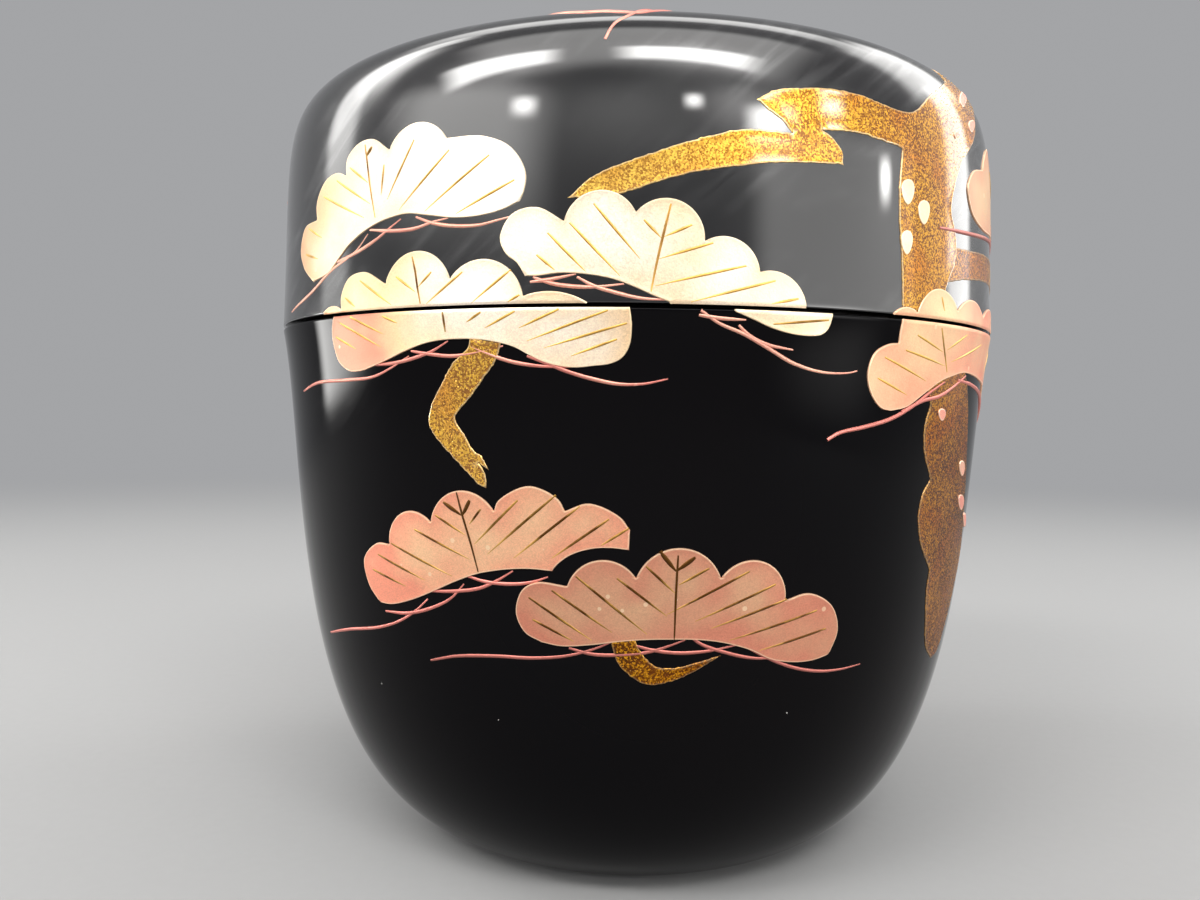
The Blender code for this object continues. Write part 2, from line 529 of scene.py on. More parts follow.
def inset(outline: np.ndarray, wall: float) -> np.ndarray:
    """The inner side of a wall whose outer side runs down.

    Args:
        outline: Points of the outer side.
        wall: The wall's thickness.

    Returns:
        Points of the inner side, without those that a tight curve would fold back.
    """
    along = unit(np.gradient(outline, axis=0))
    moved = outline + wall * np.stack([along[:, 1], -along[:, 0]], axis=1)
    kept = [moved[0]]
    for point, way in zip(moved[1:], along[1:]):
        if np.dot(point - kept[-1], way) > 0.0:
            kept.append(point)
    return np.array(kept)


def unit(ways: np.ndarray) -> np.ndarray:
    """Each row at a length of 1."""
    return ways / np.maximum(np.linalg.norm(ways, axis=1), 1e-9)[:, None]


@dataclass(frozen=True)
class TurnedForm:
    """The turned form in millimetres: the values of the solids, and sections as (radius, height) points."""

    body_height: float
    lid_rim: float
    top: float
    mouth_radius: float
    foot_radius: float = 18.0
    foot_pull: Point = (0.985, 0.10)
    mouth_pull: Point = (0.135, 0.245)
    crown_edge_radius: float = 24.7
    crown_curve_radius: float = 130.0
    lid_side_pull: Point = (0.095, 0.857)
    shoulder_pull: float = 1.11
    wall: float = 2.6
    rim_wall: float = 2.2
    floor_thickness: float = 3.2
    floor_softness: float = 0.5
    foot_ring_width: float = 3.5
    foot_recess_depth: float = 0.6
    collar_clearance: float = 0.3
    collar_wall: float = 1.2
    collar_rise: float = 9.0
    collar_seat_depth: float = 6.0
    collar_headroom: float = 0.6
    rim_round: float = 0.12
    foot_round: float = 0.4
    recess_round: float = 0.15
    collar_rounds: tuple[float, ...] = (0.4, 0.4, 0.1, 0.1)
    side_steps: int = 110
    crown_steps: int = 40
    shoulder_steps: int = 90
    body_rim_points: int = 8
    lid_rim_points: int = 5
    lid_bore_end: float = 1.5

    @classmethod
    def from_frame(cls) -> TurnedForm:
        """Takes the heights and the mouth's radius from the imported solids."""
        (low, high), body_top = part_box("lid"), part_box("body")[1]
        return cls(*(round(height / MM, 3) for height in (body_top.z, low.z, high.z)), round(high.x / MM, 1))

    @property
    def bore(self) -> float:
        """Radius of the lid's bore and of the rebate in the body."""
        return self.mouth_radius - self.rim_wall

    @property
    def collar_outer(self) -> float:
        """The collar's outer radius."""
        return self.bore - self.collar_clearance

    @property
    def collar_inner(self) -> float:
        """The collar's inner radius."""
        return self.collar_outer - self.collar_wall

    @property
    def seam(self) -> float:
        """Height of the middle of the gap between lid and body."""
        return (self.body_height + self.lid_rim) / 2

    def body_side(self) -> np.ndarray:
        """The body's outer side, from the mouth down to the foot.

        Returns:
            Its points.
        """
        wide, high, narrow = self.mouth_radius, self.body_height, self.foot_radius
        down, up = self.mouth_pull, self.foot_pull
        mouth_handle = (wide - down[0] * (wide - narrow), high * (1 - down[1]))
        foot_handle = (narrow + up[0] * (wide - narrow), up[1] * high)
        side = bezier((wide, high), mouth_handle, foot_handle, (narrow, 0.0), self.side_steps)
        return np.vstack([round_corner((self.bore, high), (wide, high), side[1], self.rim_round), side[1:]])

    def lid_side(self) -> np.ndarray:
        """The lid's outer side, from the top of the crown down to the rim.

        Returns:
            Its points.
        """
        slope = math.asin(self.crown_edge_radius / self.crown_curve_radius)
        slopes = np.linspace(0.0, slope, self.crown_steps)
        arc = self.crown_curve_radius * np.stack([np.sin(slopes), np.cos(slopes)], axis=1)
        crown = arc + (0.0, self.top - self.crown_curve_radius)
        edge, rim = crown[-1], (self.mouth_radius, self.lid_rim)
        across = self.mouth_radius - self.crown_edge_radius
        shoulder = edge + self.shoulder_pull * across * np.array([math.cos(slope), -math.sin(slope)])
        rise = self.lid_side_pull[1] * (edge[1] - self.lid_rim)
        rim_handle = (self.mouth_radius - self.lid_side_pull[0] * across, self.lid_rim + rise)
        side = bezier(edge, shoulder, rim_handle, rim, self.shoulder_steps)
        corner = round_corner(side[-2], rim, (self.bore, self.lid_rim), self.rim_round)
        return np.vstack([crown, side[1:-1], corner])

    def body_section(self) -> np.ndarray:
        """The body, from the recess under it up the outside, over the rim and down inside to its floor.

        Returns:
            Its points.
        """
        side = self.body_side()
        rebate = self.body_height - self.collar_seat_depth
        hollow = inset(side[self.body_rim_points:], self.wall)[::-1]
        hollow = hollow[hollow[:, 1] < rebate]
        floor, soft = self.foot_recess_depth + self.floor_thickness, self.floor_softness
        hollow[:, 1] = soft * np.logaddexp(hollow[:, 1] / soft, floor / soft)
        hollow[:, 0] = np.minimum(hollow[:, 0], self.collar_inner)
        ring, recess = self.foot_radius - self.foot_ring_width, self.foot_recess_depth
        return np.vstack([
            [(0.0, hollow[0, 1]), (hollow[0, 0] * 0.5, hollow[0, 1])],
            hollow,
            [(self.collar_inner, rebate), (self.bore, rebate), (self.bore, self.body_height)],
            side[:-1],
            round_corner(side[-2], side[-1], (ring, 0.0), self.foot_round),
            round_corner((self.foot_radius, 0.0), (ring, 0.0), (ring - recess, recess), self.recess_round),
            [(ring - recess, recess), (ring * 0.5, recess), (0.0, recess)],
        ])[::-1]

    def lid_section(self) -> np.ndarray:
        """The lid, from the top of its crown down the outside and up the inside.

        Returns:
            Its points.
        """
        side = self.lid_side()
        collar_top = self.body_height + self.collar_rise + self.collar_headroom
        hollow = inset(side[:-self.lid_rim_points], self.wall)[::-1]
        hollow = hollow[(hollow[:, 1] > collar_top + self.lid_bore_end) & (hollow[:, 0] < self.bore)]
        return np.vstack([side, [(self.bore, self.lid_rim), (self.bore, collar_top)], hollow])

    def collar_section(self) -> np.ndarray:
        """The collar, as a closed loop from its top inner edge round the outside.

        Returns:
            Its points.
        """
        foot = self.body_height - self.collar_seat_depth + self.collar_clearance
        top = self.body_height + self.collar_rise
        inner, outer = self.collar_inner, self.collar_outer
        corners = ((inner, top), (outer, top), (outer, foot), (inner, foot))
        rounds = [
            round_corner(corners[i - 1], corners[i], corners[(i + 1) % 4], size)
            for i, size in enumerate(self.collar_rounds)
        ]
        return np.vstack([*rounds, rounds[0][:1]])


class Unrolled:
    """The caddy's outside laid flat: u runs round it and v up it, in millimetres, with v = 0 in the seam."""

    # From this height above the seam upwards, each radius is met only once
    crown_from = 14.0

    def __init__(self, form: TurnedForm) -> None:
        """Measures the outside from the foot to the crown.

        Args:
            form: The caddy's form.
        """
        self.form = form
        body, lid = form.body_side()[::-1], form.lid_side()[::-1]
        gap = (form.lid_rim - form.body_height) / 2
        body_length, lid_length = self._lengths(body), self._lengths(lid)
        self.curve = np.vstack([body, lid])
        self.v = np.concatenate([-gap - (body_length[-1] - body_length), gap + lid_length])
        along = np.vstack([unit(np.gradient(curve, axis=0)) for curve in (body, lid)])
        self.normal = np.stack([along[:, 1], -along[:, 0]], axis=1)

    @staticmethod
    def _lengths(curve: np.ndarray) -> np.ndarray:
        """The length along the curve at each of its points."""
        return np.concatenate([[0.0], np.cumsum(np.linalg.norm(np.diff(curve, axis=0), axis=1))])

    def radius_at(self, height: np.ndarray) -> np.ndarray:
        """The outside's radius at a height."""
        return np.interp(height, self.curve[:, 1], self.curve[:, 0], right=0.0)

    def flat(self, azimuth: float, height: float) -> Point:
        """The flat place of a point given by its azimuth in degrees and its height."""
        u = math.radians(azimuth) * self.form.mouth_radius
        return (u, float(np.interp(height, self.curve[:, 1], self.v)))

    def side(self, flat: np.ndarray, lift: np.ndarray | float) -> np.ndarray:
        """Carries flat points of the side to the caddy.

        Args:
            flat: An array of (u, v).
            lift: How far each point stands off the lacquer.

        Returns:
            An array of (x, y, z).
        """
        radius, height, out, up = self._section_at(flat[:, 1])
        azimuth = flat[:, 0] / self.form.mouth_radius
        reach = radius + out * lift
        return np.stack([reach * np.sin(azimuth), -reach * np.cos(azimuth), height + up * lift], axis=1)

    def crown(self, flat: np.ndarray, lift: np.ndarray | float) -> np.ndarray:
        """Carries points of the crown, given from above, to the caddy.

        Args:
            flat: An array of (x, y).
            lift: How far each point stands off the lacquer.

        Returns:
            An array of (x, y, z).
        """
        radius = np.hypot(flat[:, 0], flat[:, 1])
        above = self.curve[:, 1] > self.form.seam + self.crown_from
        v = np.interp(-radius, -self.curve[above, 0], self.v[above])
        _, height, out, up = self._section_at(v)
        moved = flat + flat / np.maximum(radius, 1e-6)[:, None] * (out * lift)[:, None]
        return np.column_stack([moved, height + up * lift])

    def _section_at(self, v: np.ndarray) -> tuple[np.ndarray, ...]:
        """Radius, height and the normal's two parts at each v."""
        return tuple(np.interp(v, self.v, values) for values in (*self.curve.T, *self.normal.T))


@dataclass(frozen=True)
class PhotoCamera:
    """The camera that took the photograph, fitted to the caddy's outline. Lengths in millimetres."""

    focal_px: float = 933.0
    distance: float = 93.69
    height: float = 38.52
    pitch: float = math.radians(2.61)
    yaw: float = math.radians(1.88)
    roll: float = math.radians(0.73)
    frame_px: tuple[int, int] = (1200, 900)
    sensor_mm: float = 36.0
    ray_margin: float = 5.0
    ray_steps: int = 4000

    def axes(self) -> tuple[np.ndarray, np.ndarray, np.ndarray]:
        """The camera's right, up and forward directions.

        Returns:
            The three directions.
        """
        level = math.cos(self.pitch)
        ahead = np.array([-math.sin(self.yaw) * level, math.cos(self.yaw) * level, -math.sin(self.pitch)])
        right = np.array([math.cos(self.yaw), math.sin(self.yaw), 0.0])
        up = np.cross(right, ahead)
        turned_right = math.cos(self.roll) * right + math.sin(self.roll) * up
        turned_up = math.cos(self.roll) * up - math.sin(self.roll) * right
        return turned_right, turned_up, ahead

    def place(self) -> None:
        """Adds the camera to the scene and makes it the scene's camera."""
        data = bpy.data.cameras.new("photo_camera")
        data.sensor_width = self.sensor_mm
        data.lens = self.sensor_mm * self.focal_px / self.frame_px[0]
        data.clip_start = 1.0 * MM
        camera = into_scene("photo_camera", data)
        right, up, ahead = self.axes()
        turn = Matrix((right, up, -ahead)).transposed().to_4x4()
        camera.matrix_world = Matrix.Translation(Vector((0.0, -self.distance, self.height)) * MM) @ turn
        bpy.context.scene.camera = camera

    def on_caddy(self, pixel: Point, unrolled: Unrolled) -> Point:
        """The flat place that a pixel of the photograph shows.

        Args:
            pixel: Where it is in the photograph.
            unrolled: The caddy's outside.

        Returns:
            (u, v) of the nearest point of the outside that the pixel's ray meets, or passes closest to.
        """
        right, up, ahead = self.axes()
        across = (pixel[0] - self.frame_px[0] / 2) / self.focal_px
        rise = (self.frame_px[1] / 2 - pixel[1]) / self.focal_px
        ray = ahead + across * right + rise * up
        ray /= np.linalg.norm(ray)
        near, far = self.distance - unrolled.form.mouth_radius, self.distance
        reach = np.linspace(near - self.ray_margin, far + self.ray_margin, self.ray_steps)
        points = np.array([0.0, -self.distance, self.height]) + reach[:, None] * ray
        gap = np.hypot(points[:, 0], points[:, 1]) - unrolled.radius_at(points[:, 2])
        met = np.nonzero(gap <= 0.0)[0]
        x, y, z = points[met[0] if len(met) else int(np.argmin(gap))]
        return unrolled.flat(math.degrees(math.atan2(x, -y)), z)


def into_scene(name: str, data: bpy.types.ID) -> bpy.types.Object:
    """Puts a new object into the scene.

    Args:
        name: Its name.
        data: Its mesh, light or camera.

    Returns:
        The object.
    """
    made = bpy.data.objects.new(name, data)
    bpy.context.scene.collection.objects.link(made)
    return made


def arc_through(start: np.ndarray, middle: np.ndarray, end: np.ndarray, spacing: float) -> np.ndarray:
    """Points of the circular arc through three points.

    Args:
        start: The first point.
        middle: A point on the way.
        end: The last point.
        spacing: Roughly how far apart the points are.

    Returns:
        Points from start to end.
    """
    ax, ay = start - middle
    bx, by = end - middle
    det = 2 * (ax * by - ay * bx)
    if abs(det) < 1e-9:
        return np.array([start, end])
    a2, b2 = ax * ax + ay * ay, bx * bx + by * by
    centre = middle + np.array([by * a2 - ay * b2, ax * b2 - bx * a2]) / det
    radius = np.linalg.norm(start - centre)
    first, way, last = (math.atan2(*(point - centre)[::-1]) for point in (start, middle, end))
    turn = (last - first) % math.tau
    if (way - first) % math.tau > turn:
        turn -= math.tau
    steps = max(2, math.ceil(abs(turn) * radius / spacing))
    swept = first + np.linspace(0.0, turn, steps + 1)
    return centre + radius * np.stack([np.cos(swept), np.sin(swept)], axis=1)


def curve_through(points: np.ndarray, spacing: float) -> np.ndarray:
    """Points of a smooth curve through the given ones (a centripetal Catmull-Rom curve).

    Args:
        points: The points that it passes.
        spacing: Roughly how far apart the result's points are.

    Returns:
        Points from the first to the last.
    """
    if len(points) == 2:
        steps = max(1, math.ceil(np.linalg.norm(points[1] - points[0]) / spacing))
        return points[0] + np.linspace(0.0, 1.0, steps + 1)[:, None] * (points[1] - points[0])
    padded = np.vstack([2 * points[0] - points[1], points, 2 * points[-1] - points[-2]])
    result = [points[:1]]
    for p0, p1, p2, p3 in zip(padded, padded[1:], padded[2:], padded[3:]):
        t1 = np.sqrt(np.linalg.norm(p1 - p0))
        t2 = t1 + np.sqrt(np.linalg.norm(p2 - p1))
        t3 = t2 + np.sqrt(np.linalg.norm(p3 - p2))
        steps = max(1, math.ceil(np.linalg.norm(p2 - p1) / spacing))
        t = (t1 + (t2 - t1) * np.arange(1, steps + 1) / steps)[:, None]
        a1 = (t1 - t) / t1 * p0 + t / t1 * p1
        a2 = (t2 - t) / (t2 - t1) * p1 + (t - t1) / (t2 - t1) * p2
        a3 = (t3 - t) / (t3 - t2) * p2 + (t - t2) / (t3 - t2) * p3
        b1 = (t2 - t) / t2 * a1 + t / t2 * a2
        b2 = (t3 - t) / (t3 - t1) * a2 + (t - t1) / (t3 - t1) * a3
        result.append((t2 - t) / (t2 - t1) * b1 + (t - t1) / (t2 - t1) * b2)
    return np.vstack(result)


@dataclass(frozen=True)
class Outline:
    """A closed outline: from its start, each stroke goes on from the end of the last.

    A stroke of one point is straight, one of two points is the arc through its first to its second, and a
    longer one is a smooth curve through all its points.
    """

    start: Point
    strokes: tuple[Stroke, ...]


class Painter:
    """Lays drawings on the caddy, each from the points that it is given in."""

    def __init__(self, camera: PhotoCamera, unrolled: Unrolled) -> None:
        """Keeps the camera of the photograph and the caddy's outside."""
        self.camera = camera
        self.unrolled = unrolled

    def flat(self, stroke: Stroke, drawn: Drawn) -> np.ndarray:
        """The flat places of a stroke's points.

        Args:
            stroke: The points as they are given.
            drawn: What they are given in.

        Returns:
            An array of flat points.
        """
        if drawn is not Drawn.PHOTO:
            return np.array(stroke, float)
        unrolled = self.unrolled
        return np.array([
            unrolled.flat(*point) if isinstance(point, Hidden) else self.camera.on_caddy(point, unrolled)
            for point in stroke
        ])

    def contour(self, outline: Outline, drawn: Drawn, spacing: float) -> np.ndarray:
        """A closed outline's flat points.

        Args:
            outline: The outline.
            drawn: What its points are given in.
            spacing: Roughly how far apart the points are.

        Returns:
            An array of points that runs anticlockwise, without its start repeated.
        """
        end = self.flat((outline.start,), drawn)
        pieces = []
        for stroke in outline.strokes:
            points = np.vstack([end, self.flat(stroke, drawn)])
            run = arc_through(*points, spacing) if len(points) == 3 else curve_through(points, spacing)
            pieces.append(run[:-1])
            end = points[-1:]
        contour = np.vstack(pieces)
        ahead = np.roll(contour, -1, axis=0)
        area = np.sum(contour[:, 0] * ahead[:, 1] - contour[:, 1] * ahead[:, 0])
        return contour if area > 0.0 else contour[::-1]

    def lay(self, flat: np.ndarray, lift: np.ndarray | float, drawn: Drawn) -> np.ndarray:
        """Carries flat points to the caddy, at their lift off the lacquer."""
        return (self.unrolled.crown if drawn is Drawn.CROWN else self.unrolled.side)(flat, lift)


def distance_to(points: np.ndarray, contour: np.ndarray, at_once: int = 400) -> np.ndarray:
    """How far each point is from a closed contour.

    Args:
        points: The points.
        contour: The contour's points.
        at_once: How many points are measured at once.

    Returns:
        One distance for each point.
    """
    along = np.roll(contour, -1, axis=0) - contour
    length2 = np.maximum((along**2).sum(axis=1), 1e-12)
    result = []
    for block in np.array_split(points, max(1, len(points) // at_once)):
        away = block[:, None] - contour
        share = np.clip((away * along).sum(axis=2) / length2, 0.0, 1.0)
        result.append(np.linalg.norm(away - share[..., None] * along, axis=2).min(axis=1))
    return np.concatenate(result)


def inside(points: np.ndarray, contour: np.ndarray) -> np.ndarray:
    """Which points are inside a closed contour.

    Args:
        points: The points.
        contour: The contour's points.

    Returns:
        One truth value for each point.
    """
    x, y = points[:, :1], points[:, 1:]
    x0, y0 = contour.T
    x1, y1 = np.roll(contour, -1, axis=0).T
    crosses = (y0 > y) != (y1 > y)
    run = np.where(y1 == y0, 1e-12, y1 - y0)
    return (crosses & (x < (x1 - x0) * (y - y0) / run + x0)).sum(axis=1) % 2 == 1


def store(mesh: bpy.types.Mesh, name: str, values: np.ndarray) -> None:
    """Stores one value for each point of a mesh."""
    mesh.attributes.new(name, "FLOAT", "POINT").data.foreach_set("value", np.array(values, np.float32))


@dataclass(frozen=True)
class Relief:
    """How a laid plate of powder stands on the lacquer, and how finely it is made, in millimetres."""

    height: float
    rim_height: float
    rim_from: float = 0.025
    rim_to: float = 0.065
    rim_fade: float = 0.05
    rim_least: float = 0.3
    round_edge: float = 0.05
    bank_share: float = 0.55
    foot: float = 0.05
    spacing: float = 0.26
    grid: float = 0.48
    rings: tuple[float, ...] = (0.035, 0.09, 0.14, 0.28)
    seam_margin: float = 0.24
    sprinkled_from: float = 0.12
    toned_to: float = 2.4
    sharp: float = math.radians(50)

    def lift(self, distance: np.ndarray) -> np.ndarray:
        """How high the plate stands.

        Args:
            distance: The distances from its outline.

        Returns:
            Its height at each of them.
        """
        shoulder = 1.0 - (1.0 - np.clip(distance / self.round_edge, 0.0, 1.0)) ** 2
        bank = np.clip((self.rings[-1] - distance) / (self.rings[-1] - self.rim_to), 0.0, 1.0)
        raised = self.height + (self.rim_height - self.height) * bank
        return shoulder * (self.height * (1.0 - self.bank_share) + self.bank_share * raised)


class Plates:
    """Makes the raised plates: closed thin shells that follow the caddy."""

    # Rows of points next to the seam, so that every plate follows the rounded lip in the same way
    lip_rows = (0.34, 0.46, 0.62, 0.85, 1.2)
    # A ring point is left out where another part of the outline is nearer than this share of the ring's inset
    ring_share = 0.96
    # The height of a row of triangles and the gap to the innermost ring, as shares of the grid
    row_share, row_gap = 0.87, 0.4
    merged = 1e-5

    def __init__(self, painter: Painter) -> None:
        """Keeps the painter, which lays flat points on the caddy."""
        self.painter = painter

    def flat_mesh(self, contour: np.ndarray, relief: Relief) -> bmesh.types.BMesh:
        """Fills a contour with triangles, finer along its edge.

        Args:
            contour: The contour's points.
            relief: The relief that the mesh will carry.

        Returns:
            A flat mesh.
        """
        along = unit(np.roll(contour, -1, axis=0) - np.roll(contour, 1, axis=0))
        inward = np.stack([-along[:, 1], along[:, 0]], axis=1)
        points = [contour]
        for ring in relief.rings:
            moved = contour + inward * ring
            good = inside(moved, contour) & (distance_to(moved, contour) > ring * self.ring_share)
            points.append(moved[good])
        low, high = contour.min(axis=0), contour.max(axis=0)
        for number, row in enumerate(np.arange(low[1], high[1], relief.grid * self.row_share)):
            line = np.arange(low[0] + relief.grid * 0.5 * (number % 2), high[0], relief.grid)
            candidates = np.column_stack([line, np.full(len(line), row)])
            candidates = candidates[inside(candidates, contour)]
            if len(candidates):
                clear = relief.rings[-1] + relief.grid * self.row_gap
                points.append(candidates[distance_to(candidates, contour) > clear])
        placed = [Vector(point) for point in np.vstack(points)]
        count = len(contour)
        edges = [(i, (i + 1) % count) for i in range(count)]
        verts, _, faces, *_ = delaunay_2d_cdt(placed, edges, [], 1, self.merged)
        mesh = bmesh.new()
        made = [mesh.verts.new((*vert, 0.0)) for vert in verts]
        for face in faces:
            mesh.faces.new([made[i] for i in face])
        return mesh

    def build(
        self, name: str, contour: np.ndarray, relief: Relief, drawn: Drawn, half: Half, tint: Stops,
        painted_light: Stops = (1.0,),
    ) -> bpy.types.Object | None:
        """Builds the part of a plate that lies on one half of the caddy.

        Args:
            name: The object's name.
            contour: The plate's flat contour.
            relief: How it stands on the lacquer.
            drawn: What the contour is given in.
            half: The half that it lies on.
            tint: How golden it is, at even stops from its left to its right end.
            painted_light: Painted light and shade: how much brighter or darker the plate is made where the
                light falls on it or turns away, at even stops from its left to its right end.

        Returns:
            The object, or None where the plate doesn't reach this half.
        """
        flat = self.flat_mesh(contour, relief)
        if drawn is not Drawn.CROWN:
            for row in (relief.seam_margin, *self.lip_rows):
                geometry, first = flat.verts[:] + flat.edges[:] + flat.faces[:], row == relief.seam_margin
                bmesh.ops.bisect_plane(
                    flat, geom=geometry, dist=self.merged, plane_co=(0, half.way * row, 0),
                    plane_no=(0, half.way if first else 1, 0), clear_inner=first,
                )
        if not flat.faces:
            flat.free()
            return None
        bmesh.ops.triangulate(flat, faces=flat.faces[:])
        flat.verts.index_update()
        points = np.array([vert.co[:2] for vert in flat.verts])
        faces = [[vert.index for vert in face.verts] for face in flat.faces]
        loops = [edge.link_loops[0] for edge in flat.edges if edge.is_boundary]
        walls = [(loop.vert.index, loop.link_loop_next.vert.index) for loop in loops]
        flat.free()
        distance, count = distance_to(points, contour), len(points)
        top = self.painter.lay(points, relief.lift(distance), drawn)
        bottom = self.painter.lay(points, -relief.foot, drawn)
        sides = [[b, a, a + count, b + count] for a, b in walls]
        under = [[a + count for a in reversed(face)] for face in faces]
        mesh = bpy.data.meshes.new(name)
        mesh.from_pydata(np.vstack([top, bottom]) * MM, [], faces + under + sides)
        across = (points[:, 0] - contour[:, 0].min()) / np.ptp(contour[:, 0])
        fade = np.clip((relief.rim_to + relief.rim_fade - distance) / relief.rim_fade, 0, 1)
        rim = np.clip(distance / relief.rim_from, relief.rim_least, 1) * fade
        for label, stops in (("tint", tint), ("painted_light", painted_light)):
            store(mesh, label, np.tile(np.interp(across, np.linspace(0, 1, len(stops)), stops), 2))
        for label, above in (("rim", rim), ("top", distance > relief.sprinkled_from)):
            store(mesh, label, np.concatenate([above, np.zeros(count)]))
        store(mesh, "inner", np.tile(np.clip(distance / relief.toned_to, 0.0, 1.0), 2))
        mesh.shade_smooth()
        mesh.set_sharp_from_angle(angle=relief.sharp)
        return into_scene(name, mesh)


def run_tree(
    name: str, source: bpy.types.Mesh, tree: bpy.types.NodeTree, **values: object
) -> bpy.types.Object:
    """Runs a geometry tree on a mesh and keeps the result as a plain mesh.

    Args:
        name: The name of the piece.
        source: The mesh that the tree starts from.
        tree: The geometry tree.
        values: The tree's inputs by name.

    Returns:
        The piece.
    """
    piece = into_scene(name, source)
    modifier = piece.modifiers.new("Shape", "NODES")
    modifier.node_group = tree
    sockets = {item.name: item.identifier for item in tree.interface.items_tree if item.in_out == "INPUT"}
    for label, value in values.items():
        modifier[sockets[label]] = value
    bpy.context.view_layer.update()
    made = bpy.data.meshes.new_from_object(piece.evaluated_get(bpy.context.evaluated_depsgraph_get()))
    piece.modifiers.remove(modifier)
    piece.data = made
    made.name = name
    return piece


def end_tree(b: TreeBuilder, shape: Socket, finish: Socket) -> bpy.types.NodeTree:
    """Ends a geometry tree with real meshes in their finish."""
    real = b.get("GeometryNodeRealizeInstances", {0: shape})
    return b.end({"Piece": b.get("GeometryNodeSetMaterial", {"Geometry": real, "Material": finish})})


@cache
def turned_piece() -> bpy.types.NodeTree:
    """Builds the tree that turns a profile about Z: a grid with one column of points for each step.

    Returns:
        The tree.
    """
    takes = {"Profile": GEOMETRY, "Steps": 256, "Finish": MATERIAL}
    b, given = new_group("turned_piece", "GeometryNodeTree", takes)
    profile, steps = given["Profile"], given["Steps"]
    count = b.get("GeometryNodeAttributeDomainSize", {0: profile})
    grid = b.get("GeometryNodeMeshGrid", {"Vertices X": b.math("ADD", steps, 1.0), "Vertices Y": count})
    index = b.get("GeometryNodeInputIndex")
    column = b.math("FLOOR", b.math("DIVIDE", b.math("ADD", index, 0.5), count))
    place = b.get("GeometryNodeInputPosition")
    taken = {"Geometry": profile, "Value": place, "Index": b.math("MODULO", index, count)}
    sample = b.get("GeometryNodeSampleIndex", taken, data_type="FLOAT_VECTOR")
    at = b.add("ShaderNodeSeparateXYZ", {0: sample}).outputs
    angle = b.math("MULTIPLY", b.math("DIVIDE", column, steps), math.tau)
    x, y = (b.math("MULTIPLY", at[0], b.math(part, angle)) for part in ("COSINE", "SINE"))
    moved = b.get("ShaderNodeCombineXYZ", {0: x, 1: y, 2: at[2]})
    laid = b.get("GeometryNodeSetPosition", {"Geometry": grid, "Position": moved})
    closed = b.get("GeometryNodeMergeByDistance", {"Geometry": laid, "Distance": 2e-6})
    return end_tree(b, b.get("GeometryNodeSetShadeSmooth", {"Geometry": closed}), given["Finish"])


@cache
def drawn_line() -> bpy.types.NodeTree:
    """Builds the tree that gives each stroke its body: a tube as thick as its reach attribute says.

    Returns:
        The tree.
    """
    takes = {"Strokes": GEOMETRY, "Sides": 6, "Finish": MATERIAL}
    b, given = new_group("drawn_line", "GeometryNodeTree", takes)
    curve = b.get("GeometryNodeMeshToCurve", {0: given["Strokes"]})
    section = b.get("GeometryNodeCurvePrimitiveCircle", {"Resolution": given["Sides"], 4: 1.0})
    reach = b.get("GeometryNodeInputNamedAttribute", {"Name": "reach"})
    body = {"Curve": curve, "Profile Curve": section, "Scale": reach, "Fill Caps": True}
    tube = b.get("GeometryNodeCurveToMesh", body)
    return end_tree(b, b.get("GeometryNodeSetShadeSmooth", {"Geometry": tube}), given["Finish"])


@cache
def sprinkled_flakes() -> bpy.types.NodeTree:
    """Builds the tree that sprinkles tilted flakes over the top of a plate.

    Returns:
        The tree.
    """
    takes = {
        "Plate": GEOMETRY, "Density": 14e6, "Flake Radius": 3.6e-5, "Flake Thickness": 2.0e-5, "Tilt": 0.4,
        "Brightest": 1.0, "Seed": 7, "Finish": MATERIAL,
    }
    b, given = new_group("sprinkled_flakes", "GeometryNodeTree", takes)
    top, cover = (b.get("GeometryNodeInputNamedAttribute", {"Name": name}) for name in ("top", "tint"))
    on_top, smallest, largest, size_seed, shade_seed = 0.7, 0.45, 1.25, 21, 33
    density = b.math("MULTIPLY", given["Density"], b.math("POWER", cover, 2.0))
    where = {"Mesh": given["Plate"], "Selection": b.math("GREATER_THAN", top, on_top), "Density": density}
    spread = b.add("GeometryNodeDistributePointsOnFaces", where | {"Seed": given["Seed"]}).outputs
    disc = {"Vertices": 5, "Radius": given["Flake Radius"], "Depth": given["Flake Thickness"]}
    flake = b.get("GeometryNodeMeshCylinder", disc)
    lean = b.get("ShaderNodeCombineXYZ", {0: given["Tilt"], 1: given["Tilt"], 2: math.pi})
    back = b.get("ShaderNodeVectorMath", {0: lean, "Scale": -1.0}, operation="SCALE")
    leans = {"Min": back, "Max": lean, "Seed": given["Seed"]}
    euler = b.get("FunctionNodeRandomValue", leans, data_type="FLOAT_VECTOR")
    turns = {"Rotation": spread["Rotation"], "Rotate By": b.get("FunctionNodeEulerToRotation", {0: euler})}
    turned = b.get("FunctionNodeRotateRotation", turns, rotation_space="LOCAL")
    size = b.add("FunctionNodeRandomValue", {2: smallest, 3: largest, 8: size_seed}).outputs[1]
    laid = {"Points": spread[0], "Instance": flake, "Rotation": turned, "Scale": size}
    shade = b.add("FunctionNodeRandomValue", {2: 0.0, 3: given["Brightest"], 8: shade_seed}).outputs[1]
    kept = {"Geometry": b.get("GeometryNodeInstanceOnPoints", laid), "Name": "shade", "Value": shade}
    shaded = b.get("GeometryNodeStoreNamedAttribute", kept, data_type="FLOAT", domain="INSTANCE")
    return end_tree(b, shaded, given["Finish"])


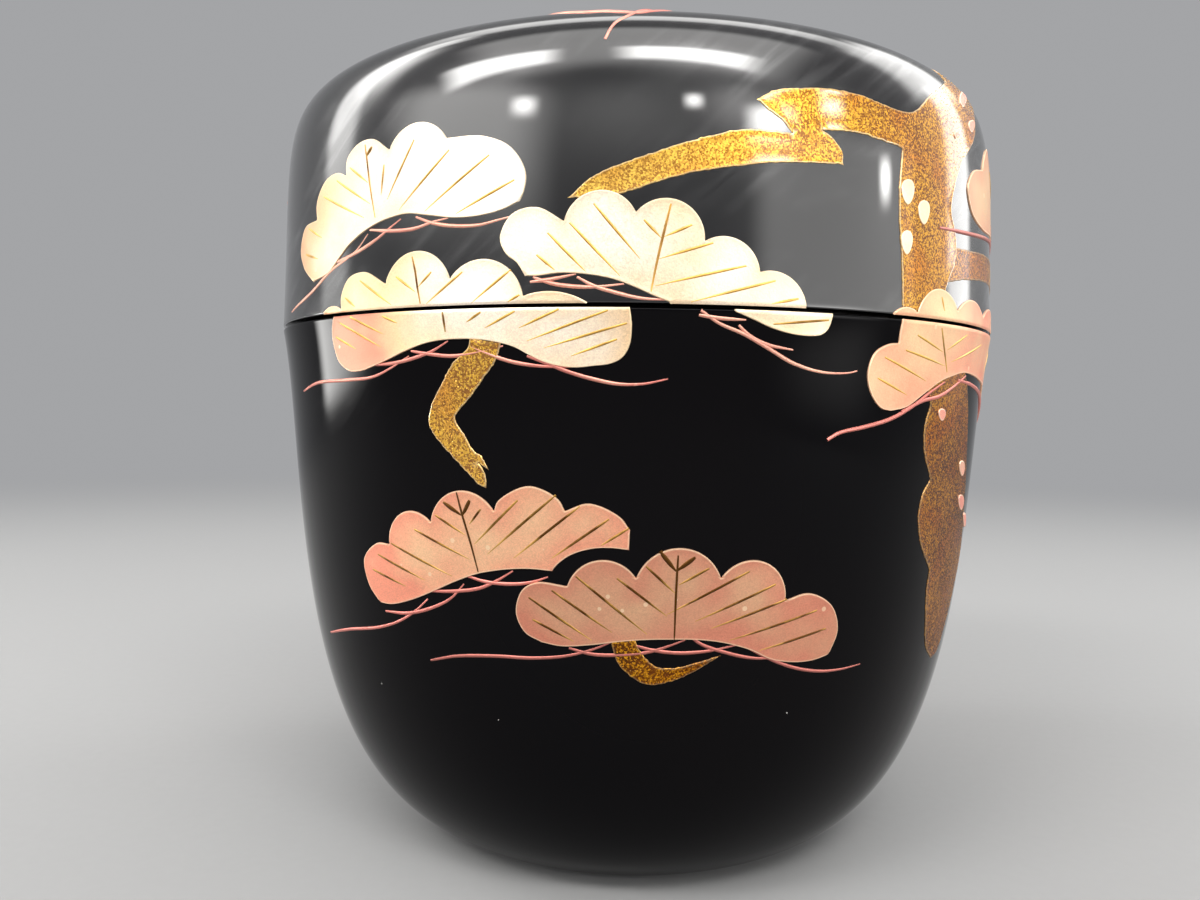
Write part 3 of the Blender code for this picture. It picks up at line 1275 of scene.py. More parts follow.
@dataclass(frozen=True)
class Cluster:
    """A lobed cluster of needles, the veins drawn on it and the twigs that curl under it.

    It lies on one half of the caddy, or on both where its half is None. Its first vein is the darkest.
    """

    name: str
    half: Half | None
    outline: Outline
    tint: Stops
    # Painted light and shade: brighter or darker at even stops from left to right, where the light falls on
    # the cluster or turns away
    painted_light: Stops = (1.0,)
    golden: float = 0.3
    over: float = 0.0
    veins: tuple[Stroke, ...] = ()
    buds: tuple[Stroke, ...] = ()
    twigs: tuple[Stroke, ...] = ()
    drawn: Drawn = Drawn.PHOTO


@dataclass(frozen=True)
class Limb:
    """A stretch of trunk or branch in coarse gold flakes. A low one stands up less."""

    name: str
    half: Half
    outline: Outline
    low: bool = True
    cover: Stops = (1.0,)
    # Painted light and shade: brighter or darker at even stops from left to right, where the light falls on
    # the limb or turns away
    painted_light: Stops = (1.0,)
    drawn: Drawn = Drawn.PHOTO


class Drop(NamedTuple):
    """A drop of powder on the trunk, fuller near its top at (x, y), in pixels of the photograph."""

    x: float
    y: float
    width: float
    length: float
    fuller: float = 0.28
    steps: int = 12

    def outline(self) -> Outline:
        """Draws the drop.

        Returns:
            Its outline.
        """
        turns = [math.tau * i / self.steps for i in range(self.steps + 1)]
        across = [self.width / 2 * math.sin(turn) * (1 + self.fuller * math.cos(turn)) for turn in turns]
        down = [self.length / 2 * (1 - math.cos(turn)) for turn in turns]
        points = tuple((self.x + x, self.y + y) for x, y in zip(across, down))
        return Outline(points[0], (points[1:],))


# The clusters that the photograph shows; the stops that brighten or darken each one are painted light and
# shade
PHOTO_CLUSTERS = (
    Cluster(
        "upper_left", Half.LID, Outline((314, 282), (
            ((305, 268), (302, 251), (306, 229), (318, 220)),
            ((318, 203), (326, 182), (338, 173), (347, 176)),
            ((348, 160), (358, 145), (373, 139), (390, 150)), ((420, 122), (447, 138)),
            ((484, 136), (511, 147), (526, 172), (524, 192), (520, 201)),
            (
                (502, 210), (479, 216), (455, 218), (432, 216), (408, 214), (391, 218), (377, 224),
                (363, 233), (349, 246), (340, 258), (330, 272), (314, 282),
            ),
        )),
        tint=(0.6, 1.5, 1.8, 1.9), painted_light=(0.74, 0.88, 0.92), golden=0.8,
        veins=(
            ((366, 145), (368, 161), (371, 187), (376, 218)), ((351, 168), (369, 183)),
            ((338, 181), (371, 204)), ((325, 197), (365, 218)), ((310, 229), (323, 238)),
            ((307, 255), (319, 259)), ((385, 165), (382, 195)), ((415, 140), (388, 200)),
            ((450, 150), (400, 210)), ((490, 155), (425, 212)), ((515, 180), (455, 215)),
        ),
        buds=(((373, 147), (367, 157)),),
        twigs=(
            ((292, 312), (311, 293), (332, 270), (356, 251), (368, 234)),
            ((335, 263), (356, 253), (377, 239), (391, 227), (401, 219)),
            ((370, 230), (391, 231), (413, 229), (436, 221), (448, 218)),
            ((416, 217), (432, 223), (455, 226), (479, 225), (498, 220), (513, 216)),
        ),
    ),
    Cluster(
        "seam_right_upper", Half.LID, Outline((525, 276), (
            ((517, 263), (506, 254), (500, 238), (512, 214), (537, 207), (564, 221)),
            ((597, 190), (636, 212)), ((663, 198), (705, 241)), ((723, 236), (760, 272)),
            ((775, 271), (806, 304)), ((806, 330),), ((690, 330),), ((669, 302),),
            ((654, 296), (634, 287), (612, 279), (587, 274.5), (562, 273), (537, 276), (525, 276)),
        )),
        tint=(1.6, 1.35), painted_light=(0.92, 0.9), golden=0.8,
        veins=(
            ((671, 204), (663, 236), (657, 262), (651, 292)), ((644, 220), (661, 238)),
            ((692, 225), (664, 237)), ((594, 204), (640, 259)), ((570, 223), (620, 276)),
            ((548, 233), (587, 273)), ((537, 255), (556, 271)), ((713, 243), (659, 259)),
            ((746, 266), (655, 286)), ((775, 281), (691, 302)), ((798, 299), (771, 304)),
        ),
        twigs=(
            ((530, 282), (552, 279), (576, 274)),
            ((533, 277), (550, 283), (569, 286), (592, 287), (624, 284)),
            ((577, 277), (594, 286), (617, 293), (639, 298), (669, 300)),
        ),
    ),
    Cluster(
        "seam_right_lower", Half.BODY, Outline((736, 312), (
            ((716, 296),), ((834, 298),),
            ((832, 318), (828, 329), (821, 335), (806, 336), (791, 334), (771, 328), (754, 320), (736, 312)),
        )),
        tint=(1.5, 1.4), painted_light=(0.92, 0.9), golden=0.9,
        veins=(((828, 320), (773, 324)),),
        twigs=(
            ((701, 310), (719, 323), (744, 334), (768, 348), (793, 363), (821, 372), (848, 373), (857, 371)),
            ((699, 315), (719, 318), (746, 320)), ((739, 325), (749, 335), (766, 344), (793, 350)),
        ),
    ),
    Cluster(
        "seam_left_upper", Half.LID, Outline((324, 314), (
            ((334, 306), (342, 310)), ((342, 297), (349, 279), (365, 272), (386, 284)),
            ((416, 251), (450, 279)), ((481, 259), (523, 296)), ((551, 291), (590, 303)), ((590, 325),),
            ((324, 330),),
        )),
        tint=(0.55, 1.1, 1.7, 1.3), painted_light=(0.78, 0.93, 0.94, 0.9), golden=0.7,
        veins=(
            ((413, 257), (416, 272), (418, 287), (421, 304)), ((432, 272), (419, 287)),
            ((397, 277), (416, 292)), ((361, 281), (392, 305)), ((346, 298), (356, 307)),
            ((463, 272), (427, 304)), ((511, 270), (472, 303)), ((520, 295), (508, 302)),
        ),
    ),
    Cluster(
        "seam_left_lower", Half.BODY, Outline((336, 312), (
            (
                (333, 332), (335, 347), (340, 362), (350, 371), (362, 371), (375, 366), (390, 359),
                (404, 352), (422, 344.5), (439, 340.5), (459, 339), (479, 339.5), (496, 342), (514, 347),
                (529, 355), (544, 362), (559, 366), (576, 367.6), (593, 366), (611, 363.6), (623, 357),
                (630, 344.5), (632, 325), (629.5, 305),
            ),
            ((629, 292),), ((338, 298),),
        )),
        tint=(-0.5, -0.2, 1.4, 1.6, 1.5, 1.0), painted_light=(0.6, 0.72, 1.12, 1.18, 1.12, 1.04), golden=0.7,
        veins=(
            ((443, 312), (446, 332)), ((351, 317), (384, 334)), ((341, 323), (382, 347)),
            ((337, 337), (357, 349)), ((383, 316), (398, 323)), ((481, 312), (467, 322)),
            ((515, 311), (485, 328)), ((559, 309), (519, 328)), ((608, 310), (527, 341)),
            ((627, 323), (544, 348)), ((617, 339), (571, 356)),
        ),
        twigs=(
            ((304, 391), (317, 383), (347, 380), (372, 377), (389, 369), (409, 356)),
            ((373, 365), (394, 363), (414, 358), (432, 351), (448, 341)),
            ((411, 351), (429, 354), (452, 356), (474, 353), (503, 346)),
            ((469, 346), (486, 353), (509, 361), (539, 366), (571, 367)),
            ((527, 356), (546, 363), (569, 372), (593, 379), (618, 384), (643, 384), (668, 379)),
        ),
    ),
    Cluster(
        "lower_left", Half.BODY, Outline((381, 602), (
            ((370, 584), (365, 559), (377, 543), (390, 544)), ((407, 511), (431, 522)),
            ((459, 490.5), (494, 511)), ((498, 501), (529, 486), (558, 499), (565, 511)),
            ((589, 503.5), (620, 517), (630, 530)), ((629, 550),),
            ((610, 548), (591, 549), (571, 555), (558, 564), (552, 571)),
            (
                (532, 569), (513, 569), (493, 571), (477, 574), (457, 581), (441, 588), (425, 595),
                (408, 601), (392, 604), (381, 602),
            ),
        )),
        tint=(-0.25, 0.1, 0.4, 0.15), painted_light=(1.0, 0.98), golden=0.1,
        veins=(
            ((457, 492), (463, 515), (471, 542), (479, 572)), ((436, 515), (466, 535)),
            ((415, 529), (470, 559)), ((392, 543), (453, 576)), ((379, 554), (426, 580)),
            ((374, 569), (407, 586)), ((481, 509), (470, 524)), ((518, 500), (475, 544)),
            ((556, 495), (488, 554)), ((580, 506), (514, 558)), ((609, 519), (552, 558)),
            ((629, 528), (600, 546)),
        ),
        buds=(((444, 502), (462, 515)), ((470, 500), (463, 515))),
        twigs=(
            ((331, 632), (350, 629), (379, 627), (399, 621), (415, 611), (428, 599)),
            ((386, 611), (408, 613), (431, 608), (451, 598), (464, 584)),
            ((431, 591), (457, 591), (480, 588), (496, 581), (513, 571)),
            ((467, 576), (487, 582), (513, 584), (532, 582), (548, 577)),
        ),
    ),
    Cluster(
        "lower_middle", Half.BODY, Outline((542, 642), (
            ((525, 632), (516, 612), (522, 590), (537, 582), (567, 586)), ((600, 560), (636, 578)),
            ((678, 548), (721, 578)), ((752, 560), (785, 600)),
            ((809, 593), (832, 606), (837, 630), (828, 654)),
            (
                (812, 660), (792, 662), (770, 659), (750, 650), (724, 643), (701, 640), (672, 639.5),
                (643, 640), (617, 642), (591, 645), (561, 646), (542, 642),
            ),
        )),
        tint=(0.15, 0.15, 0.2, 0.25), painted_light=(0.74, 0.72), golden=0.0,
        veins=(
            ((678, 555), (676, 590), (674, 639)), ((646, 566), (675, 593)), ((617, 578), (667, 616)),
            ((576, 576), (647, 634)), ((552, 590), (612, 632)), ((529, 597), (592, 640)),
            ((533, 619), (574, 641)), ((709, 568), (678, 585)), ((749, 571), (667, 614)),
            ((775, 584), (695, 621)), ((786, 599), (711, 628)), ((816, 610), (729, 640)),
            ((825, 628), (759, 650)),
        ),
        buds=(((660, 551), (676, 571)), ((695, 557), (676, 571))),
        twigs=(
            ((431, 660), (457, 656), (496, 656), (532, 658), (565, 656), (594, 649), (618, 639)),
            ((569, 648), (591, 654), (620, 655), (649, 652), (669, 646), (685, 640)),
            ((633, 645), (652, 650), (678, 653), (708, 651), (737, 645)),
            ((688, 634), (701, 644), (724, 652), (753, 658), (786, 657)),
            ((745, 646), (766, 657), (792, 667), (818, 671), (841, 669), (860, 664)),
        ),
    ),
    Cluster(
        "right_edge", Half.LID, Outline((987, 152), (
            ((983, 159), (981.5, 170)), ((972, 172), (967, 188), (971, 212), (981, 229), (993, 238)),
            (Hidden(74, 53.3), Hidden(82, 54.2), Hidden(92, 54.0), Hidden(101, 53.6)),
            (Hidden(106, 56.4), Hidden(97, 59.4)), (Hidden(93, 62.6), Hidden(81, 60.6)),
            (Hidden(75, 61.6), (987, 152)),
        )),
        tint=(0.25, 0.45), painted_light=(0.72, 0.7), golden=0.5, over=0.07,
        veins=(
            (Hidden(82, 60.6), Hidden(82, 54.8)), (Hidden(74, 62.0), Hidden(81, 56.8)),
            (Hidden(67, 58.8), Hidden(79, 54.6)), (Hidden(92, 61.0), Hidden(84, 56.8)),
            (Hidden(101, 57.4), Hidden(87, 54.6)),
        ),
        twigs=(
            ((939, 228), (965, 233), (990, 245), Hidden(76, 52.6)),
            (Hidden(68, 54.4), Hidden(76, 52.2), Hidden(86, 53.4)),
            (Hidden(80, 53.6), Hidden(92, 51.6), Hidden(108, 52.8)),
        ),
    ),
    Cluster(
        "seam_far_right_upper", Half.LID, Outline((893, 330), (
            ((893, 313),), ((903, 307), (917, 312)), ((941, 289), (957, 311)), ((971, 300), (982, 318)),
            (Hidden(66, 47.1), Hidden(73, 45.4)), (Hidden(73, 43.0),),
        )),
        tint=(0.45, 0.1), painted_light=(0.98, 0.86), golden=1.2,
        veins=(((941, 297), (943.5, 311)),),
    ),
    Cluster(
        "seam_far_right_lower", Half.BODY, Outline((901, 300), (
            ((901, 316), (900, 330), (898, 343)),
            ((888, 344), (874, 353), (867, 374), (870, 393), (880, 408), (890, 411)),
            ((906, 407), (922, 395), (939, 382), (952, 376), (963, 373), (973, 376), (981, 385)),
            (Hidden(71, 38.4), Hidden(79, 37.8), Hidden(83, 40.6), Hidden(78, 43.4)),
            (Hidden(80, 45.6), Hidden(75, 47.0)),
        )),
        tint=(0.45, 0.15, -0.15), painted_light=(1.1, 0.95, 0.85), golden=1.2, over=0.07,
        veins=(
            ((941, 328), (946, 372)), ((917, 335), (942, 352)), ((905, 350), (944, 366)),
            ((884, 357), (925, 381)), ((877, 378), (906, 395)), ((966, 335), (946, 350)),
            ((980, 345), (950, 362)), (Hidden(72, 44.0), Hidden(66, 42.0)),
            (Hidden(80, 41.4), Hidden(71, 40.4)),
        ),
        twigs=(
            ((827, 440), (839, 433), (864, 427), (890, 419), (914, 405), (930, 392), (944, 382)),
            ((901, 412), (922, 401), (939, 396), (955, 385), (965, 376)),
            ((957, 380), (971, 385), (979, 396), Hidden(76, 37.4), Hidden(86, 37.0)),
        ),
    ),
)

# The trunk and the branches that it shows; the stops that darken the trunk towards its right end and on the
# body are painted shade, where it turns from the light
PHOTO_LIMBS = (
    Limb(
        "trunk_upper", Half.LID, Outline((568, 198), (
            ((593, 176), (628, 161), (666, 148), (704, 137), (745, 129), (792, 133)),
            ((783, 121), (766, 108), (757, 99)),
            ((775, 90), (804, 88), (833, 89), (863, 96), (892, 108), (912, 112), (930, 95), (945, 82)),
            (Hidden(50.5, 65.6), Hidden(52, 67.0), Hidden(55, 67.9)), (Hidden(72, 67.9),),
            (Hidden(66, 67.0), Hidden(62.5, 65.0), (974, 117), (974, 137), (962, 161)),
            ((956, 180), (951, 211), (955, 234), (955, 261), (949, 278), (945, 290)), ((943, 330),),
            ((904, 330),), ((902, 305),),
            ((902, 275), (900.5, 246), (899, 211), (899.5, 181), (901, 164), (902, 148)),
            ((877, 139), (857, 133), (822, 130)), ((833, 139), (842, 152), (843, 165)),
            ((813, 163), (775, 163), (731, 167), (687, 174), (651, 184), (628, 192), (600, 197), (568, 198)),
        )),
        low=False, painted_light=(1.0, 0.56),
    ),
    Limb(
        "trunk_lower", Half.BODY, Outline((905, 300), (
            ((908, 340), (916, 370), (930, 401), (924, 428), (924, 452), (930, 479)),
            ((922, 495), (918, 516), (920, 543), (929, 570)),
            ((926, 591), (925, 618), (925, 645), (930, 658)),
            (
                (936, 650), (944, 624), (952, 591), (959, 554), (963, 511), (966, 457), (967, 390),
                (957, 345), (948, 300),
            ),
        )),
        low=False, cover=(0.9, 0.75), painted_light=(0.66, 0.48),
    ),
    Limb(
        "bough_to_back", Half.LID, Outline((940, 245), (
            (
                (962, 249), (989, 261), Hidden(76, 50.6), Hidden(88, 50.0), Hidden(100, 50.8),
                Hidden(112, 53.2),
            ),
            (Hidden(101, 49.0), Hidden(89, 47.9), Hidden(76, 48.3), (989, 287), (964, 280), (940, 284)),
        )),
        cover=(0.85, 0.9), painted_light=(0.54, 0.66),
    ),
    Limb(
        "branch_left", Half.BODY, Outline((470, 336), (
            (
                (468, 347), (452, 364), (440, 387), (432, 404), (429, 424), (437, 439), (452, 456),
                (469, 474), (479, 485), (486, 488),
            ),
            ((486, 479), (478, 463)), ((489, 470),),
            (
                (481, 456), (474, 451), (464, 434), (455, 418), (469, 399), (483, 379), (495, 362),
                (500, 347), (502, 336),
            ),
        )),
        painted_light=(0.85, 0.9),
    ),
    Limb(
        "branch_low", Half.BODY, Outline((610, 636), (
            ((612, 647), (617, 662), (630, 676), (649, 685), (675, 680), (701, 668), (721, 655)),
            ((698, 662), (675, 668), (657, 667), (643, 655), (633, 636)),
        )),
        cover=(0.45, 0.5), painted_light=(0.72, 0.62),
    ),
)
LID_DROPS = (
    Drop(907, 179, 12.5, 26), Drop(923, 200, 11, 25), Drop(906, 230, 11, 25), Drop(962, 92, 7, 16),
    Drop(970.5, 120, 6, 13), Drop(955, 131, 4, 8),
)
BODY_DROPS = (Drop(961, 460, 5, 16), Drop(960, 494, 5, 16), Drop(963.5, 512, 2.5, 15), Drop(941, 408, 7, 13))

# A cluster by rule: places and lengths are shares of its width, measured from the foot of its main vein, and
# the hand is unsteady by so many millimetres
FAN_REACH = (0.43, 0.26)
FAN_ENDS = (math.radians(196), math.radians(-16))
FAN_UNEVEN = 0.07
FAN_BULGES = (1.22, 1.30)
FAN_UNDERSIDE = ((0.30, -0.03), (0.12, 0.02), (-0.12, 0.025), (-0.28, -0.02))
FAN_MAIN_VEIN = (0.315, 0.15, 0.03)
FAN_SWAY = 0.02
FAN_BARBS = (
    ((-0.096, 0.23), (-0.01, 0.146)), ((-0.186, 0.193), (-0.031, 0.085)), ((-0.314, 0.185), (-0.093, 0.04)),
    ((-0.388, 0.14), (-0.2, 0.025)), ((-0.45, 0.085), (-0.264, 0.01)), ((-0.44, 0.02), (-0.33, -0.018)),
)
FAN_BUDS = (((-0.05, 0.285), (-0.002, 0.22)), ((0.05, 0.27), (-0.002, 0.22)))
FAN_UNSTEADY = 0.12
# The twigs under it: their left ends, their lengths, the heights of their outermost and their other ends, and
# for each bend its share of the left and of the right end, and its height
FAN_TWIG_LEFTS = tuple(-0.76 + 0.27 * number for number in range(5))
FAN_TWIG_LENGTHS = (0.42, 0.52)
FAN_TWIG_ENDS = (-0.07, 0.012)
FAN_TWIG_BENDS = ((0.7, 0.3, -0.055), (0.3, 0.7, -0.05))


def fan_cluster(
    name: str, half: Half | None, centre: Point, width: float, tint: Stops, lobes: int = 5, lean: float = 0.0,
    drawn: Drawn = Drawn.UNROLLED,
) -> Cluster:
    """Draws a cluster by rule, in the manner of the ones that the photograph shows.

    Args:
        name: The cluster's name.
        half: The half of the caddy that it lies on, or None for both.
        centre: Where the foot of its main vein is.
        width: How wide it is, in millimetres.
        tint: How golden it is at its left and at its right end.
        lobes: How many lobes it has.
        lean: How far it is turned anticlockwise, in degrees.
        drawn: What it is drawn in.

    Returns:
        The cluster.
    """
    hand = random.Random(name)
    cos, sin = math.cos(math.radians(lean)), math.sin(math.radians(lean))

    def at(x: float, y: float) -> Point:
        """A point of the cluster, turned and put in its place."""
        x, y = (part * width + hand.uniform(-FAN_UNSTEADY, FAN_UNSTEADY) for part in (x, y))
        return (centre[0] + x * cos - y * sin, centre[1] + x * sin + y * cos)

    def rim(angle: float, bulge: float) -> Point:
        """A point on the cluster's upper edge, or on a lobe that stands out from it."""
        return at(FAN_REACH[0] * bulge * math.cos(angle), FAN_REACH[1] * bulge * math.sin(angle))

    uneven = np.array([0.0, *(hand.uniform(-FAN_UNEVEN, FAN_UNEVEN) for _ in range(lobes - 1)), 0.0])
    cusps = np.linspace(*FAN_ENDS, lobes + 1) + uneven
    start = rim(cusps[0], 1.0)
    edge = []
    for one, two in zip(cusps, cusps[1:]):
        end = rim(two, 1.0)
        edge.append((rim((one + two) / 2, hand.uniform(*FAN_BULGES)), end))
    edge.append((*(at(*place) for place in FAN_UNDERSIDE), start))
    sway = hand.uniform(-FAN_SWAY, FAN_SWAY)
    tip, middle, foot = FAN_MAIN_VEIN
    veins = [(at(sway, tip), at(sway / 2, middle), at(0.0, foot))]
    for (x0, y0), (x1, y1) in FAN_BARBS:
        veins += [(at(side * x0, y0), at(side * x1, y1)) for side in (1, -1)]
    buds = tuple((at(*top), at(*low)) for top, low in FAN_BUDS)
    twigs = []
    outer, inner = FAN_TWIG_ENDS
    for left in FAN_TWIG_LEFTS:
        right = left + hand.uniform(*FAN_TWIG_LENGTHS)
        begin, end = (outer if left == FAN_TWIG_LEFTS[side] else inner for side in (0, -1))
        bends = ((left * near + right * far, low) for near, far, low in FAN_TWIG_BENDS)
        twigs.append(tuple(at(*way) for way in ((left, begin), *bends, (right, end))))
    outline = Outline(start, tuple(edge))
    return Cluster(name, half, outline, tint, veins=tuple(veins), buds=buds, twigs=tuple(twigs), drawn=drawn)


def limb_along(
    name: str, half: Half, widths: tuple[float, ...], spine: Stroke, drawn: Drawn = Drawn.UNROLLED
) -> Limb:
    """Draws a branch as a stroke that swells and thins.

    Args:
        name: The branch's name.
        half: The half of the caddy that it lies on.
        widths: How wide it is at each point of its spine.
        spine: The points along its middle.
        drawn: What the points are given in.

    Returns:
        The branch.
    """
    middle = np.array(spine, float)
    along = unit(np.gradient(middle, axis=0))
    aside = np.stack([-along[:, 1], along[:, 0]], axis=1) * np.array(widths)[:, None] / 2
    one, other = middle + aside, (middle - aside)[::-1]
    start, *up = map(tuple, one)
    end, *down = map(tuple, other)
    outline = Outline(start, (tuple(up), (end,), tuple(down)))
    return Limb(name, half, outline, cover=(0.9, 0.9), painted_light=(0.85, 0.85), drawn=drawn)


# What the photograph doesn't show: the tree goes on round the right side, the back and the crown
HIDDEN_CLUSTERS = (
    fan_cluster("bough_end", Half.LID, (70.5, 5.2), 17.0, (0.7, 0.95), lean=5),
    fan_cluster("back_upper", Half.LID, (88.5, 9.5), 15.5, (0.95, 1.05), lobes=4, lean=-6),
    fan_cluster("right_middle", Half.BODY, (60.0, -13.5), 18.0, (0.3, 0.6), lean=4),
    fan_cluster("back_lower", Half.BODY, (81.5, -26.5), 19.0, (0.2, 0.55), lobes=6, lean=-3),
    fan_cluster("back_seam", None, (108.5, -4.4), 20.0, (0.6, 0.9), lobes=6, lean=2),
    fan_cluster("back_left_upper", Half.LID, (129.0, 7.0), 16.0, (0.9, 1.1), lean=-7),
    fan_cluster("back_left_lower", Half.BODY, (134.5, -21.0), 17.0, (0.15, 0.5), lean=5),
    fan_cluster("left_upper", Half.LID, (-51.5, 11.0), 14.5, (1.0, 0.9), lobes=4, lean=6),
    fan_cluster("left_middle", Half.BODY, (-57.5, -12.0), 18.0, (0.2, 0.55), lean=-4),
    fan_cluster("crown_front", Half.LID, (-1.6, 25.0), 14.0, (0.2, 0.5)),
    fan_cluster("crown_left", Half.LID, (-12.5, -1.5), 14.0, (0.9, 1.1), lean=14, drawn=Drawn.CROWN),
    fan_cluster("crown_back", Half.LID, (3.5, 12.5), 15.0, (0.7, 1.0), lean=-8, drawn=Drawn.CROWN),
)
HIDDEN_LIMBS = (
    limb_along(
        "branch_right", Half.BODY, (2.3, 2.2, 1.9, 1.5, 0.5),
        ((61.0, -12.0), (57.6, -16.4), (55.6, -20.0), (57.4, -23.4), (61.2, -26.4)),
    ),
    limb_along(
        "branch_back", Half.BODY, (2.2, 2.2, 2.0, 1.6, 0.5),
        ((108.0, -2.8), (104.0, -8.0), (102.0, -11.6), (103.4, -15.2), (107.6, -18.6)),
    ),
    limb_along(
        "branch_back_upper", Half.LID, (0.9, 1.6, 2.3, 1.8, 0.6),
        ((123.0, 8.0), (117.0, 11.6), (110.0, 12.4), (103.0, 10.6), (97.0, 11.4)),
    ),
    limb_along(
        "crown_bough", Half.LID, (4.9, 4.8, 4.0, 3.0, 2.2, 0.7),
        ((18.2, -10.6), (15.0, -7.2), (10.8, -3.0), (5.5, 0.6), (-1.0, 2.2), (-8.0, 0.0)), Drawn.CROWN,
    ),
    limb_along(
        "crown_branch", Half.LID, (2.4, 1.9, 1.6, 0.7),
        ((9.4, -2.4), (10.8, 2.4), (9.4, 7.6), (4.6, 12.0)), Drawn.CROWN,
    ),
)
CROWN_FRONT_TWIGS: tuple[Stroke, ...] = (
    (Hidden(-14.5, 66.1), (585, 12.5), (602, 11.5), (622, 12), (641, 12.5), Hidden(6.5, 66.1)),
    (Hidden(5.5, 66.75), Hidden(2.5, 66.0), (632, 14), (615, 23), (605, 39)),
)


class Pen(NamedTuple):
    """How a line is drawn: its radius, how high its middle lies, and how full its start and its end are."""

    reach: float
    lift: float
    taper: Point


class Line(NamedTuple):
    """A line to draw: its flat points, what they were given in, its pen, its tint, and its painted light and
    shade.
    """

    flat: np.ndarray
    drawn: Drawn
    pen: Pen
    tint: float
    painted_light: float = 1.0


def hand_over(piece: bpy.types.Object, half: Half, slot: str, *nodes: str) -> None:
    """Rides a piece on its body and reports it.

    Args:
        piece: The finished piece.
        half: The half of the caddy that carries it.
        slot: The record's material slot.
        nodes: The nodes that it stands for.
    """
    if nodes:
        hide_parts(*nodes)
    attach(piece, half.value)
    triangles = sum(len(face.vertices) - 2 for face in piece.data.polygons)
    LOG.info("%-28s rides on %-5s slot %-15s %7d triangles", piece.name, half.value, slot, triangles)


@dataclass
class TurnedShells:
    """The three turned pieces: body, lid and mouth collar."""

    form: TurnedForm
    finishes: dict[str, bpy.types.Material]
    steps: int = 256
    sharp: float = math.radians(34)

    def build(self) -> None:
        """Turns the three pieces and hands them over."""
        self._turn("body", self.form.body_section(), "body_lacquer", Half.BODY)
        self._turn("lid", self.form.lid_section(), "lid_lacquer", Half.LID)
        self._turn("mouth_collar", self.form.collar_section(), "collar_lacquer", Half.BODY)

    def _turn(self, node: str, section: np.ndarray, finish: str, half: Half) -> None:
        """Turns one piece.

        Args:
            node: The node that it stands for.
            section: Its section as (radius, height).
            finish: Its material, which is also its slot.
            half: The half of the caddy that it belongs to.
        """
        profile = bpy.data.meshes.new(node + "_section")
        points = np.column_stack([section[:, 0], np.zeros(len(section)), section[:, 1]]) * MM
        profile.from_pydata(points, [(i, i + 1) for i in range(len(points) - 1)], [])
        look = {"Steps": self.steps, "Finish": self.finishes[finish]}
        piece = run_tree("caddy_" + node, profile, turned_piece(), **look)
        mesh = bmesh.new()
        mesh.from_mesh(piece.data)
        bmesh.ops.recalc_face_normals(mesh, faces=mesh.faces[:])
        if mesh.calc_volume(signed=True) < 0.0:
            bmesh.ops.reverse_faces(mesh, faces=mesh.faces[:])
        mesh.to_mesh(piece.data)
        mesh.free()
        piece.data.set_sharp_from_angle(angle=self.sharp)
        hand_over(piece, half, finish, node)


